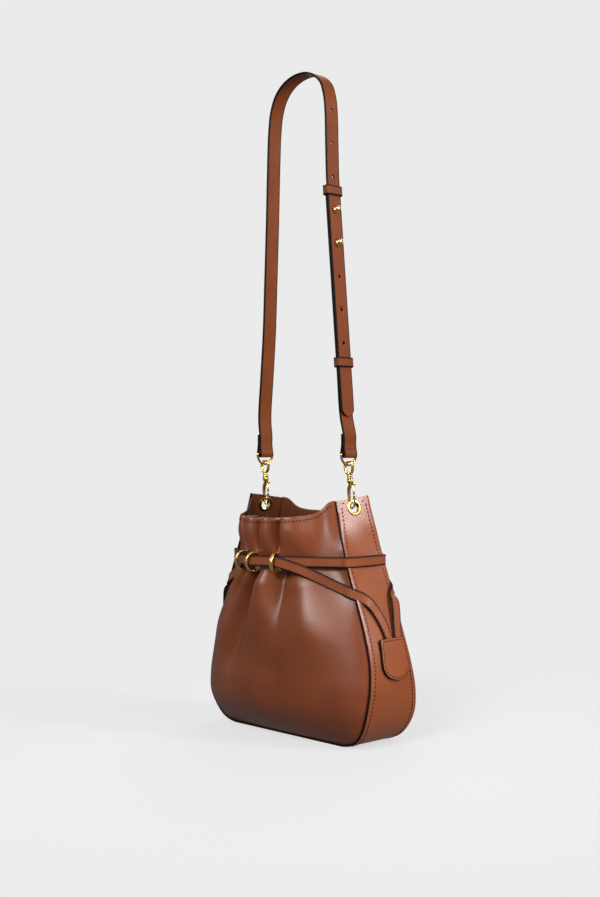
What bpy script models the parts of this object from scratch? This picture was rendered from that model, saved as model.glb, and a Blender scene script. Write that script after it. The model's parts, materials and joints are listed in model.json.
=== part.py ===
"""A bucket bag in smooth leather: two gathered panels on one gusset band, two drawstring belts that run
through brass rings to a pull tab on each side, eyelets, swivel snap hooks and an adjustable shoulder strap.

Metres, +Z up. X is the bag's width, the front faces -Y, and the origin is on the ground under its middle.
The bag, its belts and its tabs look the same when they are turned half a turn about Z."""

import math

import bpy
import numpy as np
from mathutils import Matrix, Vector

MM = 0.001
FIT_GAP = 0.35 * MM  # between two pieces that touch on the real bag

# The gusset's outer face from the middle of the base to its top, as (half width, height).
SIDE_OUTLINE = [
    (0, 0), (50, 0), (84, 0), (107, 9), (122.5, 28), (130, 58), (127, 88), (117.7, 120),
    (107, 150), (95.6, 180), (85.1, 210), (77.2, 236), (69.8, 262),
]  # fmt: skip
# Half the gusset's width, as (height, half width).
GUSSET_HALF_DEPTHS = [
    (0, 33), (12, 35), (35, 37), (60, 34.5), (90, 30.7), (130, 28.6), (198, 28.2), (262, 24.1),
]  # fmt: skip
GUSSET_THICK = 2.8 * MM
GUSSET_PROUD = 0.9 * MM  # its cut edge stands this far past the panel's seam
PANEL_THICK = 1.8 * MM
PANEL_INSET = 3.8 * MM  # from the gusset's outer face to the panel's seam
BELLY_DEPTH = 51 * MM  # the panel's bulge beyond the gusset's edge
BELLY_RISE = 28 * MM  # the height in which most of that bulge is reached
RIM_TUCK = 4 * MM  # the bulge lost again between the belts and the rim
GATHER_POWER = 1.15  # shapes the gathered panel between its middle and its seams
RIM_LOW = 241 * MM
RIM_HIGH = 257 * MM

BELT_Z = 195 * MM
BELT_WIDTH = 11 * MM
BELT_THICK = 1.8 * MM
INNER_LAYER = 1.9 * MM  # centre of the belt next to the leather
OUTER_LAYER = 4.3 * MM  # centre of the belt that passes over it
# Where the three front rings stand on the leather (x, y), and which way each one points.
RING_PLACES = {
    "left": ((-25, -72.1), (-0.34, -0.94)),
    "centre": ((0, -79.6), (-0.25, -0.97)),
    "right": ((25, -72.1), (0.34, -0.94)),
}
RING_RADIUS = 9.8 * MM

EYELET_Z = 252 * MM
EYELET_HOLE = 5.0 * MM
EYELET_FLANGE = 9.4 * MM
BARREL_RADIUS = 5.9 * MM

HOOK_WIRE = 1.5 * MM
HOOK_BOW = 6.0 * MM
HOOK_TURN = math.radians(-20)  # how far each hook has swivelled from square to its eyelet
BOW_Z = 258.2 * MM
HOOKS = {"right": (69.9 * MM, math.radians(-8)), "left": (-69.3 * MM, math.radians(-3.4))}
DRING_BAR_Z = 309.6 * MM
DRING_RADIUS = 12.6 * MM
DRING_WIRE = 1.5 * MM
EYE_WIRE = 1.5 * MM

STRAP_WIDTH = 20 * MM
STRAP_THICK = 2.2 * MM
STRAP_PAIR = 1.28 * MM  # from the middle of the doubled leg to the middle of each of its straps
LEG_FOOT = (62.1, 348)  # a point of the right leg's straight stretch (x, z)
LEG_LEAN = -0.089
HOLE_TOP_Z = 689.5 * MM
HOLE_PITCH = 36.9 * MM
HOLE_COUNT = 8
STUD_HOLES = (3, 4)

TAB_Z = 114 * MM
TAB_Y = 7 * MM
TAB_THICK = 3.4 * MM
TAB_OUTLINE = [(16.5, 0), (18.6, -12), (20.8, -28), (19.5, -34), (13, -41), (5, -44.6)]


# ---------------------------------------------------------------- curves


def mix(a, b, start, end, at):
    return (a * (end - at) + b * (at - start)) / (end - start)


def smooth_curve(knots, per_span):
    """Points on the centripetal Catmull-Rom curve through the knots, whose first columns are a place."""
    knots = np.array(knots, float)
    knots = np.vstack([2 * knots[0] - knots[1], knots, 2 * knots[-1] - knots[-2]])
    points = []
    for i in range(1, len(knots) - 2):
        four = knots[i - 1 : i + 3]
        steps = np.sqrt(np.linalg.norm(np.diff(four[:, :3], axis=0), axis=1))
        t = np.concatenate([[0.0], np.cumsum(np.maximum(steps, 1e-6))])
        for at in np.linspace(t[1], t[2], per_span, endpoint=False):
            a = [mix(four[k], four[k + 1], t[k], t[k + 1], at) for k in range(3)]
            b = [mix(a[k], a[k + 1], t[k], t[k + 2], at) for k in range(2)]
            points.append(mix(b[0], b[1], t[1], t[2], at))
    points.append(knots[-2])
    return np.array(points)


def resample(points, count):
    """The same line with its points evenly spaced."""
    lengths = np.concatenate([[0.0], np.cumsum(np.linalg.norm(np.diff(points, axis=0), axis=1))])
    places = np.linspace(0, lengths[-1], count)
    return np.column_stack([np.interp(places, lengths, column) for column in points.T])


def unit(vectors):
    return vectors / np.linalg.norm(vectors, axis=-1, keepdims=True)


def smoothstep(start, end, value):
    t = np.clip((value - start) / (end - start), 0, 1)
    return t * t * (3 - 2 * t)


def inset_line(line, distance):
    """A line in the XZ plane moved towards the bag's inside, which is on its left going up the right side."""
    along = unit(np.gradient(line, axis=0))
    return line + distance * np.column_stack([-along[:, 1], along[:, 0]])


HALF_OUTLINE = smooth_curve(SIDE_OUTLINE, 12) * MM
HALF_OUTLINE[:, 1] = np.maximum(HALF_OUTLINE[:, 1], 0)
SEAM_LINE = inset_line(HALF_OUTLINE, PANEL_INSET)
DEPTH_CURVE = smooth_curve(GUSSET_HALF_DEPTHS, 8) * MM


def half_width(z):
    """Half the width of the gusset's outer face at a height above its flat base."""
    return np.interp(z, HALF_OUTLINE[12:, 1], HALF_OUTLINE[12:, 0])


def half_depth(z):
    return np.interp(z, DEPTH_CURVE[:, 0], DEPTH_CURVE[:, 1])


def side_normal(z):
    """The outward normal of the right gusset at a height."""
    step = 4 * MM
    lean = (half_width(z + step) - half_width(z - step)) / (2 * step)
    return unit(np.array([1.0, 0.0, -lean]))


def panel_depth(across, z):
    """How far the front panel stands from the XZ plane. across runs from -1 to 1 between its seams."""
    belly = BELLY_DEPTH * (1 - np.exp(-(z - PANEL_INSET) / BELLY_RISE))
    belly = belly - RIM_TUCK * smoothstep(198 * MM, 262 * MM, z)
    full = np.maximum(1 - across**2, 0) ** 0.75
    gathered = 0.5 * (1 + np.cos(math.pi * np.abs(across) ** GATHER_POWER))
    share = smoothstep(110 * MM, 190 * MM, z)
    return half_depth(z) - 0.5 * MM + belly * (full * (1 - share) + gathered * share)


# ---------------------------------------------------------------- making objects


def clear_scene():
    for obj in list(bpy.data.objects):
        bpy.data.objects.remove(obj, do_unlink=True)


def finish_of(name, colour, roughness, metallic):
    material = bpy.data.materials.new(name)
    material.use_nodes = True
    shader = material.node_tree.nodes["Principled BSDF"]
    shader.inputs["Base Color"].default_value = (*colour, 1)
    shader.inputs["Roughness"].default_value = roughness
    shader.inputs["Metallic"].default_value = metallic
    return material


def axis_empty(name, place, parent=None):
    """An empty on a joint's axis, which its moving pieces hang on."""
    empty = bpy.data.objects.new(name, None)
    bpy.context.collection.objects.link(empty)
    empty.location = Vector(place) - (world_place(parent) if parent else Vector())
    empty.parent = parent
    return empty


def world_place(obj):
    place = Vector(obj.location)
    while obj.parent:
        obj = obj.parent
        place += obj.location
    return place


def add_piece(name, points, faces, finish, parent=None):
    """A mesh object from world points, hung on its joint's empty."""
    base = world_place(parent) if parent else Vector()
    mesh = bpy.data.meshes.new(name)
    mesh.from_pydata([tuple(Vector(p) - base) for p in points], [], faces)
    mesh.materials.append(finish)
    mesh.shade_smooth()
    mesh.set_sharp_from_angle(angle=math.radians(35))
    obj = bpy.data.objects.new(name, mesh)
    obj.parent = parent
    bpy.context.collection.objects.link(obj)
    return obj


def combine(obj, other, operation):
    """A Boolean with a helper object, which is then hidden."""
    other.hide_render = True
    other.display_type = "WIRE"
    modifier = obj.modifiers.new(operation.title(), "BOOLEAN")
    modifier.operation = operation
    modifier.object = other


def turned(points):
    """Half a turn about Z, which takes the front's pieces to the back."""
    return np.array(points) * (-1, -1, 1)


def grid_shell(outer, inner):
    """Points and faces of a closed sheet between two grids of rows by columns."""
    rows, columns = outer.shape[:2]
    points = np.concatenate([outer.reshape(-1, 3), inner.reshape(-1, 3)])
    back = rows * columns
    faces = []
    for r in range(rows - 1):
        for c in range(columns - 1):
            a = r * columns + c
            b, d, e = a + 1, a + columns, a + columns + 1
            faces.append((a, b, e, d))
            faces.append((back + a, back + d, back + e, back + b))
    edge = [(0, c) for c in range(columns)] + [(r, columns - 1) for r in range(1, rows)]
    edge += [(rows - 1, c) for c in range(columns - 2, -1, -1)] + [(r, 0) for r in range(rows - 2, 0, -1)]
    rim = [r * columns + c for r, c in edge]
    for a, b in zip(rim, rim[1:] + rim[:1]):
        faces.append((b, a, back + a, back + b))
    return points, faces


def swept(sections, closed=False):
    """Points and faces of a bar through a row of sections, each the same number of points."""
    sections = np.array(sections)
    count, sides = sections.shape[:2]
    faces = []
    for i in range(count if closed else count - 1):
        for k in range(sides):
            a, b = i * sides + k, i * sides + (k + 1) % sides
            c, d = ((i + 1) % count) * sides + (k + 1) % sides, ((i + 1) % count) * sides + k
            faces.append((a, b, c, d))
    if not closed:
        faces.append(tuple(range(sides))[::-1])
        faces.append(tuple((count - 1) * sides + k for k in range(sides)))
    return sections.reshape(-1, 3), faces


def tangents(path, closed=False):
    if closed:
        return unit(np.roll(path, -1, axis=0) - np.roll(path, 1, axis=0))
    return unit(np.gradient(path, axis=0))


def tube(path, radius, plane_normal, closed=False, sides=8, flatten=1.0):
    """A round bar along a path in one plane. flatten stretches its section across that plane."""
    path = np.array(path, float)
    across = np.array(plane_normal, float)
    sections = []
    for place, along in zip(path, tangents(path, closed)):
        out = np.cross(across, along)
        angles = 2 * math.pi * (np.arange(sides) + 0.5) / sides
        ring = np.outer(np.cos(angles), out) + flatten * np.outer(np.sin(angles), across)
        sections.append(place + radius * ring)
    return facing_out(*swept(sections, closed))


def facing_out(points, faces):
    """The same faces, turned round together if they point in."""
    volume = 0.0
    for face in faces:
        for k in range(1, len(face) - 1):
            volume += np.dot(points[face[0]], np.cross(points[face[k]], points[face[k + 1]]))
    return points, [face[::-1] for face in faces] if volume < 0 else faces


def ribbon(path, normals, width, thickness):
    """A flat band along a path. width may change along it; normals say which way its face points."""
    path = np.array(path, float)
    along = tangents(path)
    side = unit(np.cross(along, normals))
    face = np.cross(side, along)
    half = np.broadcast_to(np.array(width) / 2, len(path))[:, None]
    rise = thickness / 2
    corners = [side * half + face * rise, -side * half + face * rise]
    corners += [-side * half - face * rise, side * half - face * rise]
    return facing_out(*swept(np.stack([path + corner for corner in corners], axis=1)))


def lathe(profile, place, axis, sides=16):
    """A turned piece: profile is a closed ring of (radius, height along the axis)."""
    axis = unit(np.array(axis, float))
    first = unit(np.cross(axis, (0, 1, 0) if abs(axis[1]) < 0.9 else (1, 0, 0)))
    second = np.cross(axis, first)
    sections = []
    for k in range(sides):
        angle = 2 * math.pi * k / sides
        out = math.cos(angle) * first + math.sin(angle) * second
        sections.append([np.array(place) + r * out + h * axis for r, h in profile])
    return facing_out(*swept(sections, closed=True))


def solid_lathe(profile, place, axis, sides=16):
    """A turned piece with no hole: profile runs along the outside from end to end, off the axis."""
    axis = unit(np.array(axis, float))
    first = unit(np.cross(axis, (0, 1, 0) if abs(axis[1]) < 0.9 else (1, 0, 0)))
    second = np.cross(axis, first)
    angles = 2 * math.pi * np.arange(sides) / sides
    circle = np.outer(np.cos(angles), first) + np.outer(np.sin(angles), second)
    return facing_out(*swept([np.array(place) + r * circle + h * axis for r, h in profile]))


# ---------------------------------------------------------------- the bag's body


def full_outline(line, count):
    """The right half of a line and its mirror image, from the left top round the base to the right top."""
    half = resample(line, count)
    mirror = half[:0:-1] * (-1, 1)
    return np.vstack([mirror, half])


def make_gusset(leather, cutters):
    outline = full_outline(HALF_OUTLINE, 29)
    inside = full_outline(inset_line(HALF_OUTLINE, GUSSET_THICK), 29)
    spread = np.linspace(-1, 1, 5)

    def grid(line):
        depth = half_depth(line[:, 1]) + GUSSET_PROUD
        return np.array([[(x, s * d, z) for s in spread] for (x, z), d in zip(line, depth)])

    gusset = add_piece("gusset", *facing_out(*grid_shell(grid(outline), grid(inside))), leather)
    for cutter in cutters:
        combine(gusset, cutter, "DIFFERENCE")


def rim_height(across):
    return RIM_LOW + (RIM_HIGH - RIM_LOW) * smoothstep(0.5, 0.95, np.abs(across))


def make_panels(leather):
    rows, columns = 15, 23
    lift = np.linspace(0, 1, rows) ** 1.5
    across = np.sin(np.linspace(-1, 1, columns) * math.pi / 2 * 0.8) / math.sin(math.pi / 2 * 0.8)
    seam = SEAM_LINE[18:]
    foot = seam[0, 1]
    outer = np.zeros((rows, columns, 3))
    for r in range(rows):
        z = foot + (rim_height(across) - foot) * lift[r]
        outer[r, :, 0] = across * np.interp(z, seam[:, 1], seam[:, 0])
        outer[r, :, 1] = -panel_depth(across, z)
        outer[r, :, 2] = z
    normal = unit(np.cross(np.gradient(outer, axis=1), np.gradient(outer, axis=0)))
    inner = outer - PANEL_THICK * normal
    inner[..., 2] = np.maximum(inner[..., 2], foot)
    points, faces = facing_out(*grid_shell(outer, inner))
    add_piece("front_panel", points, faces, leather)
    add_piece("rear_panel", turned(points), faces, leather)


def make_base_board(board):
    half_x, half_y, corner, low, high = 70 * MM, 28 * MM, 10 * MM, 3.3 * MM, 5.0 * MM
    outline = []
    for quarter, (sx, sy) in enumerate([(1, 1), (-1, 1), (-1, -1), (1, -1)]):
        for step in range(4):
            angle = math.pi / 2 * (quarter + step / 3)
            x = sx * (half_x - corner) + corner * math.cos(angle)
            y = sy * (half_y - corner) + corner * math.sin(angle)
            outline.append((x, y))
    sections = [[(x, y, z) for x, y in outline] for z in (low, high)]
    add_piece("base_board", *facing_out(*swept(sections)), board)


# ---------------------------------------------------------------- rings, eyelets and belts


def make_rings(brass):
    for side, ((x, y), direction) in RING_PLACES.items():
        out = unit(np.array([*direction, 0.0]))
        flat = np.array([-out[1], out[0], 0.0])
        base = np.array([x * MM, y * MM, BELT_Z]) + 0.9 * MM * out
        arc = [math.radians(a) for a in np.linspace(-90, 90, 9)]
        path = [base + RING_RADIUS * (math.cos(a) * out + math.sin(a) * np.array([0, 0, 1])) for a in arc]
        points, faces = tube(path, 1.15 * MM, flat, sides=6, flatten=1.6)
        add_piece(f"belt_ring_front_{side}", points, faces, brass)
        other = {"left": "right", "right": "left"}.get(side, side)
        add_piece(f"belt_ring_rear_{other}", turned(points), faces, brass)


def make_ring_plates(brass):
    """The backing plate inside the panel that each ring's feet are riveted to."""
    half_wide, half_tall, thick = 4 * MM, 11 * MM, 1.2 * MM
    for side, ((x, y), _) in RING_PLACES.items():
        out = unit(np.array([x * 0.37, y * 0.33, 0.0]))
        flat = np.array([-out[1], out[0], 0.0])
        face = np.array([x * MM, y * MM, BELT_Z]) - (PANEL_THICK + 2.8 * MM) * out
        sections = []
        for depth in (0, -thick):
            corners = [(-1, -1), (1, -1), (1, 1), (-1, 1)]
            level = face + depth * out
            up = np.array([0, 0, half_tall])
            sections.append([level + a * half_wide * flat + b * up for a, b in corners])
        points, faces = facing_out(*swept(sections))
        add_piece(f"ring_plate_front_{side}", points, faces, brass)
        other = {"left": "right", "right": "left"}.get(side, side)
        add_piece(f"ring_plate_rear_{other}", turned(points), faces, brass)


def eyelet_frame(sign):
    """The middle of an eyelet on the gusset's outer face, and the way it points."""
    normal = side_normal(EYELET_Z) * (sign, 1, 1)
    return np.array([sign * half_width(EYELET_Z), 0, EYELET_Z]), normal


def make_eyelets(brass):
    """The eyelets and the washers that they are set on, and the cutters for their holes in the gusset."""
    face, back = FIT_GAP, -(GUSSET_THICK + FIT_GAP)
    washer_thick, flange_thick = 0.8 * MM, 0.9 * MM
    end = back - washer_thick
    cutters = []
    for name, sign in (("right", 1), ("left", -1)):
        place, normal = eyelet_frame(sign)
        profile = [(EYELET_HOLE, face + flange_thick), (8.4 * MM, face + flange_thick)]
        profile += [(EYELET_FLANGE, face + 0.4 * MM), (EYELET_FLANGE, face), (BARREL_RADIUS, face)]
        profile += [(BARREL_RADIUS, end), (EYELET_HOLE, end)]
        add_piece(f"eyelet_{name}", *lathe(profile, place, normal, 20), brass)
        hole = BARREL_RADIUS + 0.3 * MM
        ring = [(hole, back), (hole, end), (8.8 * MM, end), (8.8 * MM, back)]
        add_piece(f"eyelet_washer_{name}", *lathe(ring, place, normal, 20), brass)
        cut = [(hole, -6 * MM), (hole, 4 * MM)]
        cutters.append(add_piece(f"cut_eyelet_{name}", *solid_lathe(cut, place, normal, 20), brass))
    return cutters


def ring_point(side, layer):
    (x, y), direction = RING_PLACES[side]
    out = unit(np.array([*direction, 0.0]))
    return [*(np.array([x * MM, y * MM, BELT_Z]) + layer * out), *out]


def gusset_point(y, z, stand=1.6 * MM):
    """A belt's middle on the right gusset, with the way its face points."""
    normal = side_normal(z)
    return [*(np.array([half_width(z), y, z]) + stand * normal), *normal]


def corner_points(z, sign):
    """The belt's turn from a panel's chord round the right gusset's edge; sign is -1 in front."""
    x, y = half_width(z), half_depth(z) + GUSSET_PROUD
    turn = [(-1.8 * MM, 3.4 * MM, 0.3), (3.0 * MM, 2.8 * MM, 0.55), (3.1 * MM, -3 * MM, 0.97)]
    points = []
    for out, beyond, share in turn:
        normal = unit(np.array([share, sign * (1 - share), 0.0]))
        points.append([x + out, sign * (y + beyond), z, *normal])
    return points


def straight_run(start, end, count):
    """Points evenly spaced between two, so that the belt stays straight there."""
    return [list(mix(np.array(start), np.array(end), 0, count + 1, k)) for k in range(1, count + 1)]


def chord_point(x, y, z, normal=(0.55, 0.83)):
    return [x * MM, y * MM, z * MM, normal[0], math.copysign(normal[1], y), 0]


def make_belts(leather):
    """Belt A: both ends go to the right tab. Belt B is the same belt turned half a turn about Z."""
    front_tail = [gusset_point(y * MM, z * MM) for y, z in ((1, 116), (0, 126), (-6, 140), (-17, 152))]
    front_tail += [*corner_points(162 * MM, -1)[::-1]]
    front_tail += [chord_point(82, -40.5, 171), chord_point(63, -51.5, 180.5)]
    front_tail += [chord_point(50, -60.5, 187), chord_point(39, -68.5, 191.5, (0.45, 0.89))]
    front = [ring_point(side, OUTER_LAYER) for side in ("right", "centre", "left")]
    left_turn = [[-p[0], p[1], p[2], -p[3], p[4], p[5]] for p in corner_points(BELT_Z, -1)]
    left_turn += [[-p[0], p[1], p[2], -p[3], p[4], p[5]] for p in corner_points(BELT_Z, 1)[::-1]]
    rear = []
    for side in ("right", "centre", "left"):
        x, y, z, nx, ny, nz = ring_point(side, INNER_LAYER)
        rear.append([-x, -y, z, -nx, -ny, nz])
    rear_tail = [chord_point(39, 64.8, 191.5, (0.45, 0.89)), chord_point(50, 57, 187)]
    rear_tail += [chord_point(63, 48, 180.5), chord_point(82, 39.5, 172.5), *corner_points(164 * MM, 1)]
    rear_tail += [gusset_point(y * MM, z * MM) for y, z in ((24, 150), (19, 138), (15, 127), (13.4, 116))]
    loop = front + straight_run(front[-1], left_turn[0], 3) + left_turn
    loop += straight_run(left_turn[-1], rear[0], 3) + rear
    line = smooth_curve(front_tail + loop + rear_tail, 3)
    points, faces = ribbon(line[:, :3], line[:, 3:], BELT_WIDTH, BELT_THICK)
    add_piece("belt_a", points, faces, leather)
    add_piece("belt_b", turned(points), faces, leather)


def make_tabs(leather):
    """The pull tabs, each hinged where the belts' ends meet its top edge."""
    normal = side_normal(TAB_Z - 22 * MM)
    down = np.array([normal[2], 0, -normal[0]])
    for name, sign in (("right", 1), ("left", -1)):
        turn = np.array([sign, sign, 1])
        top = np.array([half_width(TAB_Z), TAB_Y, TAB_Z]) + 4.2 * MM * normal
        pivot = axis_empty(f"tab_axis_{name}", tuple(top * turn))
        outline = [(y, h) for y, h in TAB_OUTLINE] + [(-y, h) for y, h in TAB_OUTLINE[::-1]]
        sections = []
        for lift in (-TAB_THICK / 2, TAB_THICK / 2):
            rows = [top + lift * normal + y * MM * np.array([0, 1, 0]) - h * MM * down for y, h in outline]
            sections.append([row * turn for row in rows])
        add_piece(f"tab_{name}", *facing_out(*swept(sections)), leather, pivot)


# ---------------------------------------------------------------- hooks and swivel eyes


def hook_frame(name):
    """Turns places (across, out of the hook's plane, up) into world places for one hook."""
    x, tilt = HOOKS[name]
    return Matrix.Translation((x, 0, BOW_Z)) @ Matrix.Rotation(tilt, 4, "Y")


def placed(frame, rows):
    return np.array([frame @ Vector(row) for row in rows])


def make_hook(name, brass, parents):
    """A snap hook: a collar that turns on the eye's pin, a fixed arm and bow, and a sprung gate."""
    frame = hook_frame(name) @ Matrix.Rotation(HOOK_TURN, 4, "Z")
    out_of_plane = frame.to_3x3() @ Vector((0, 1, 0))
    up = frame.to_3x3() @ Vector((0, 0, 1))
    bow = [(HOOK_BOW * math.cos(a), 0, HOOK_BOW * math.sin(a)) for a in np.linspace(math.pi, 2 * math.pi, 9)]
    arm = [(x * MM, 0, z * MM) for x, z in ((0, 23), (0, 21), (-2, 18.5), (-5.2, 14.5), (-6, 11), (-6, 5))]
    path = placed(frame, arm + bow + [(HOOK_BOW, 0, 6 * MM)])
    hook = add_piece(f"hook_{name}", *tube(path, HOOK_WIRE, out_of_plane), brass, parents["hook"])
    collar = [(3.2, 20.2), (3.4, 23), (3.2, 26.6), (1.8, 26.6), (1.8, 24.2)]
    bore = [(0.01, 24.2), (0.01, 20.2)]
    profile = [(r * MM, h * MM) for r, h in collar + bore]
    place = frame @ Vector((0, 0, 0))
    combine(hook, add_piece(f"add_collar_{name}", *lathe(profile, place, up, 12), brass), "UNION")
    gate = [(6, 7.1), (6, 11), (5.2, 14.5), (3.9, 17.6), (5.4, 19.6), (7.8, 20.2), (9.4, 18.8), (9.0, 16.8)]
    gate_path = smooth_curve([(x * MM, 0, z * MM) for x, z in gate], 2)
    points, faces = tube(placed(frame, gate_path), 1.15 * MM, out_of_plane, sides=6)
    add_piece(f"gate_{name}", points, faces, brass, parents["gate"])


def eye_heights(name):
    """How far the eye's top and bottom bars are above the hook's bow, along its stem."""
    tilt = HOOKS[name][1]
    dring_foot = DRING_BAR_Z - DRING_RADIUS
    top = (dring_foot + DRING_WIRE + EYE_WIRE + 0.4 * MM - BOW_Z) / math.cos(tilt)
    return top, 30.0 * MM


def make_eye(name, brass, parent):
    """The swivel eye: a loop that the D-ring runs through, on a pin that turns in the hook's collar."""
    frame = hook_frame(name)
    top, bottom = eye_heights(name)
    middle, half_tall, half_wide = (top + bottom) / 2, (top - bottom) / 2, 5.4 * MM
    loop = []
    for angle in np.linspace(0, 2 * math.pi, 16, endpoint=False):
        x = half_wide * math.copysign(abs(math.cos(angle)) ** 0.8, math.cos(angle))
        z = middle + half_tall * math.copysign(abs(math.sin(angle)) ** 0.8, math.sin(angle))
        loop.append((x, 0, z))
    out_of_plane = frame.to_3x3() @ Vector((0, 1, 0))
    up = frame.to_3x3() @ Vector((0, 0, 1))
    path = placed(frame, loop)
    eye = add_piece(f"swivel_eye_{name}", *tube(path, EYE_WIRE, out_of_plane, closed=True), brass, parent)
    profile = [(1.3, 25.0), (1.3, 27.1), (2.9, 27.2), (2.9, 28.4), (1.6, 29.0), (1.6, 30.4)]
    pin = solid_lathe([(r * MM, h * MM) for r, h in profile], frame @ Vector((0, 0, 0)), up, 12)
    combine(eye, add_piece(f"add_pin_{name}", *pin, brass), "UNION")


def make_dring(name, brass, parent):
    x = dring_x(name)
    arc = [math.radians(a) for a in np.linspace(180, 360, 13)]
    path = [(x, DRING_RADIUS * math.cos(a), DRING_BAR_Z + DRING_RADIUS * math.sin(a)) for a in arc]
    path += [(x, y * MM, DRING_BAR_Z) for y in (11.2, 8, 0, -8, -11.2)]
    add_piece(f"dring_{name}", *tube(path, DRING_WIRE, (1, 0, 0), closed=True), brass, parent)


def dring_x(name):
    """The middle of the eye where the D-ring runs through it."""
    top, _ = eye_heights(name)
    return (hook_frame(name) @ Vector((0, 0, top - DRING_WIRE - EYE_WIRE))).x


# ---------------------------------------------------------------- strap


def leg_line(z):
    """The middle of the doubled right leg on its straight stretch."""
    return LEG_FOOT[0] * MM + LEG_LEAN * (z - LEG_FOOT[1] * MM)


def folded_end(bar_x):
    """The end of a strap folded round a D-ring's bar, from the back layer's tip to the front layer."""
    ring = DRING_WIRE + 0.3 * MM + STRAP_THICK / 2
    knots = [(bar_x - 1.3 * MM, 332 * MM), (bar_x - 1.3 * MM, 320 * MM), (bar_x - 2.2 * MM, 314 * MM)]
    for angle in np.linspace(math.pi, 2 * math.pi, 5):
        knots.append((bar_x + ring * math.cos(angle), DRING_BAR_Z + ring * math.sin(angle)))
    return knots + [(bar_x + 2.2 * MM, 314 * MM), (bar_x + 1.35 * MM, 320 * MM), (bar_x + 1.4 * MM, 330 * MM)]


def strap_piece(name, knots, per_span, leather, parent, round_end=0.0):
    """A flat strap in the XZ plane. round_end is the length over which its last end narrows."""
    line = smooth_curve([(x, 0, z) for x, z in knots], per_span)
    lengths = np.concatenate([[0.0], np.cumsum(np.linalg.norm(np.diff(line, axis=0), axis=1))])
    if round_end:
        extra = lengths[-1] - round_end * np.array([1, 0.6, 0.3, 0.12, 0.02])
        places = np.sort(np.concatenate([lengths[lengths < extra[0]], extra]))
        line = np.column_stack([np.interp(places, lengths, column) for column in line.T])
        near = np.clip((places - extra[0]) / round_end, 0, 1)
        width = STRAP_WIDTH * np.sqrt(1 - near**2)
    else:
        width = np.full(len(line), STRAP_WIDTH)
    along = tangents(line)
    normals = np.cross(along, np.broadcast_to((0.0, 1.0, 0.0), along.shape))
    return add_piece(name, *ribbon(line, normals, width, STRAP_THICK), leather, parent)


def leg_normal():
    return unit(np.array([1.0, 0.0, -LEG_LEAN]))


def hole_places():
    return [HOLE_TOP_Z - HOLE_PITCH * k for k in range(HOLE_COUNT)]


LONG_RIGHT_LEG = [(27.5, 723), (34.4, 708), (36.9, 690), (38.3, 655), (39.6, 615)]
CROWN = [(-72.2, 350), (-68.3, 400), (-64.3, 450), (-61.6, 510), (-58.9, 575), (-56.8, 640), (-54.8, 680),
         (-51.4, 702), (-43.5, 720.5), (-30, 733), (-10, 739.3), (10, 736.3)]  # fmt: skip


def long_strap_x(z):
    """The long strap's middle on the right leg, above and below where it joins the short strap."""
    line = smooth_curve(LONG_RIGHT_LEG, 6) * MM
    straight = leg_line(z) + STRAP_PAIR
    return np.interp(z, line[::-1, 1], line[::-1, 0]) if z > 615 * MM else straight


def make_straps(leather, parent):
    pair = STRAP_PAIR
    long_knots = folded_end(dring_x("left")) + [(x * MM, z * MM) for x, z in CROWN + LONG_RIGHT_LEG]
    long_knots += [(leg_line(z * MM) + pair, z * MM) for z in (596, 560, 500, 440, 380, 351)]
    long_strap = strap_piece("strap_long", long_knots, 3, leather, parent, round_end=9 * MM)
    short_knots = folded_end(dring_x("right"))
    short_knots += [(leg_line(z * MM) - pair, z * MM) for z in (352, 400, 480, 560, 606)]
    short_strap = strap_piece("strap_short", short_knots, 3, leather, parent)
    for k, z in enumerate(hole_places()):
        place = (long_strap_x(z), 0, z)
        cut = solid_lathe([(2.1 * MM, -2 * MM), (2.1 * MM, 2 * MM)], place, leg_normal(), 10)
        combine(long_strap, add_piece(f"cut_hole_{k}", *cut, leather), "DIFFERENCE")
        if k in STUD_HOLES:
            middle = (leg_line(z) - pair, 0, z)
            bore = solid_lathe([(2.1 * MM, -2 * MM), (2.1 * MM, 2 * MM)], middle, leg_normal(), 10)
            combine(short_strap, add_piece(f"cut_bore_{k}", *bore, leather), "DIFFERENCE")


def make_studs(brass, parent):
    """The collar studs that button the long strap to the short one, each with its screw at the back."""
    face = STRAP_PAIR + STRAP_THICK / 2 + 0.35 * MM
    back = -face
    head = [(1.6 * MM, -0.9 * MM), (1.6 * MM, face), (2.7 * MM, face + 0.1 * MM), (2.3 * MM, face + 1.1 * MM)]
    head += [(3.3 * MM, face + 2.2 * MM), (3.7 * MM, face + 3.7 * MM), (2.9 * MM, face + 5.2 * MM)]
    head += [(1.2 * MM, face + 6.0 * MM)]
    screw = [(1.6 * MM, -1.3 * MM), (1.6 * MM, back), (3.4 * MM, back), (3.1 * MM, back - 1.1 * MM)]
    for name, hole in zip(("upper", "lower"), STUD_HOLES):
        z = hole_places()[hole]
        place = (leg_line(z), 0, z)
        add_piece(f"stud_{name}", *solid_lathe(head, place, leg_normal(), 12), brass, parent)
        add_piece(f"stud_screw_{name}", *solid_lathe(screw, place, leg_normal(), 12), brass, parent)


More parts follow.
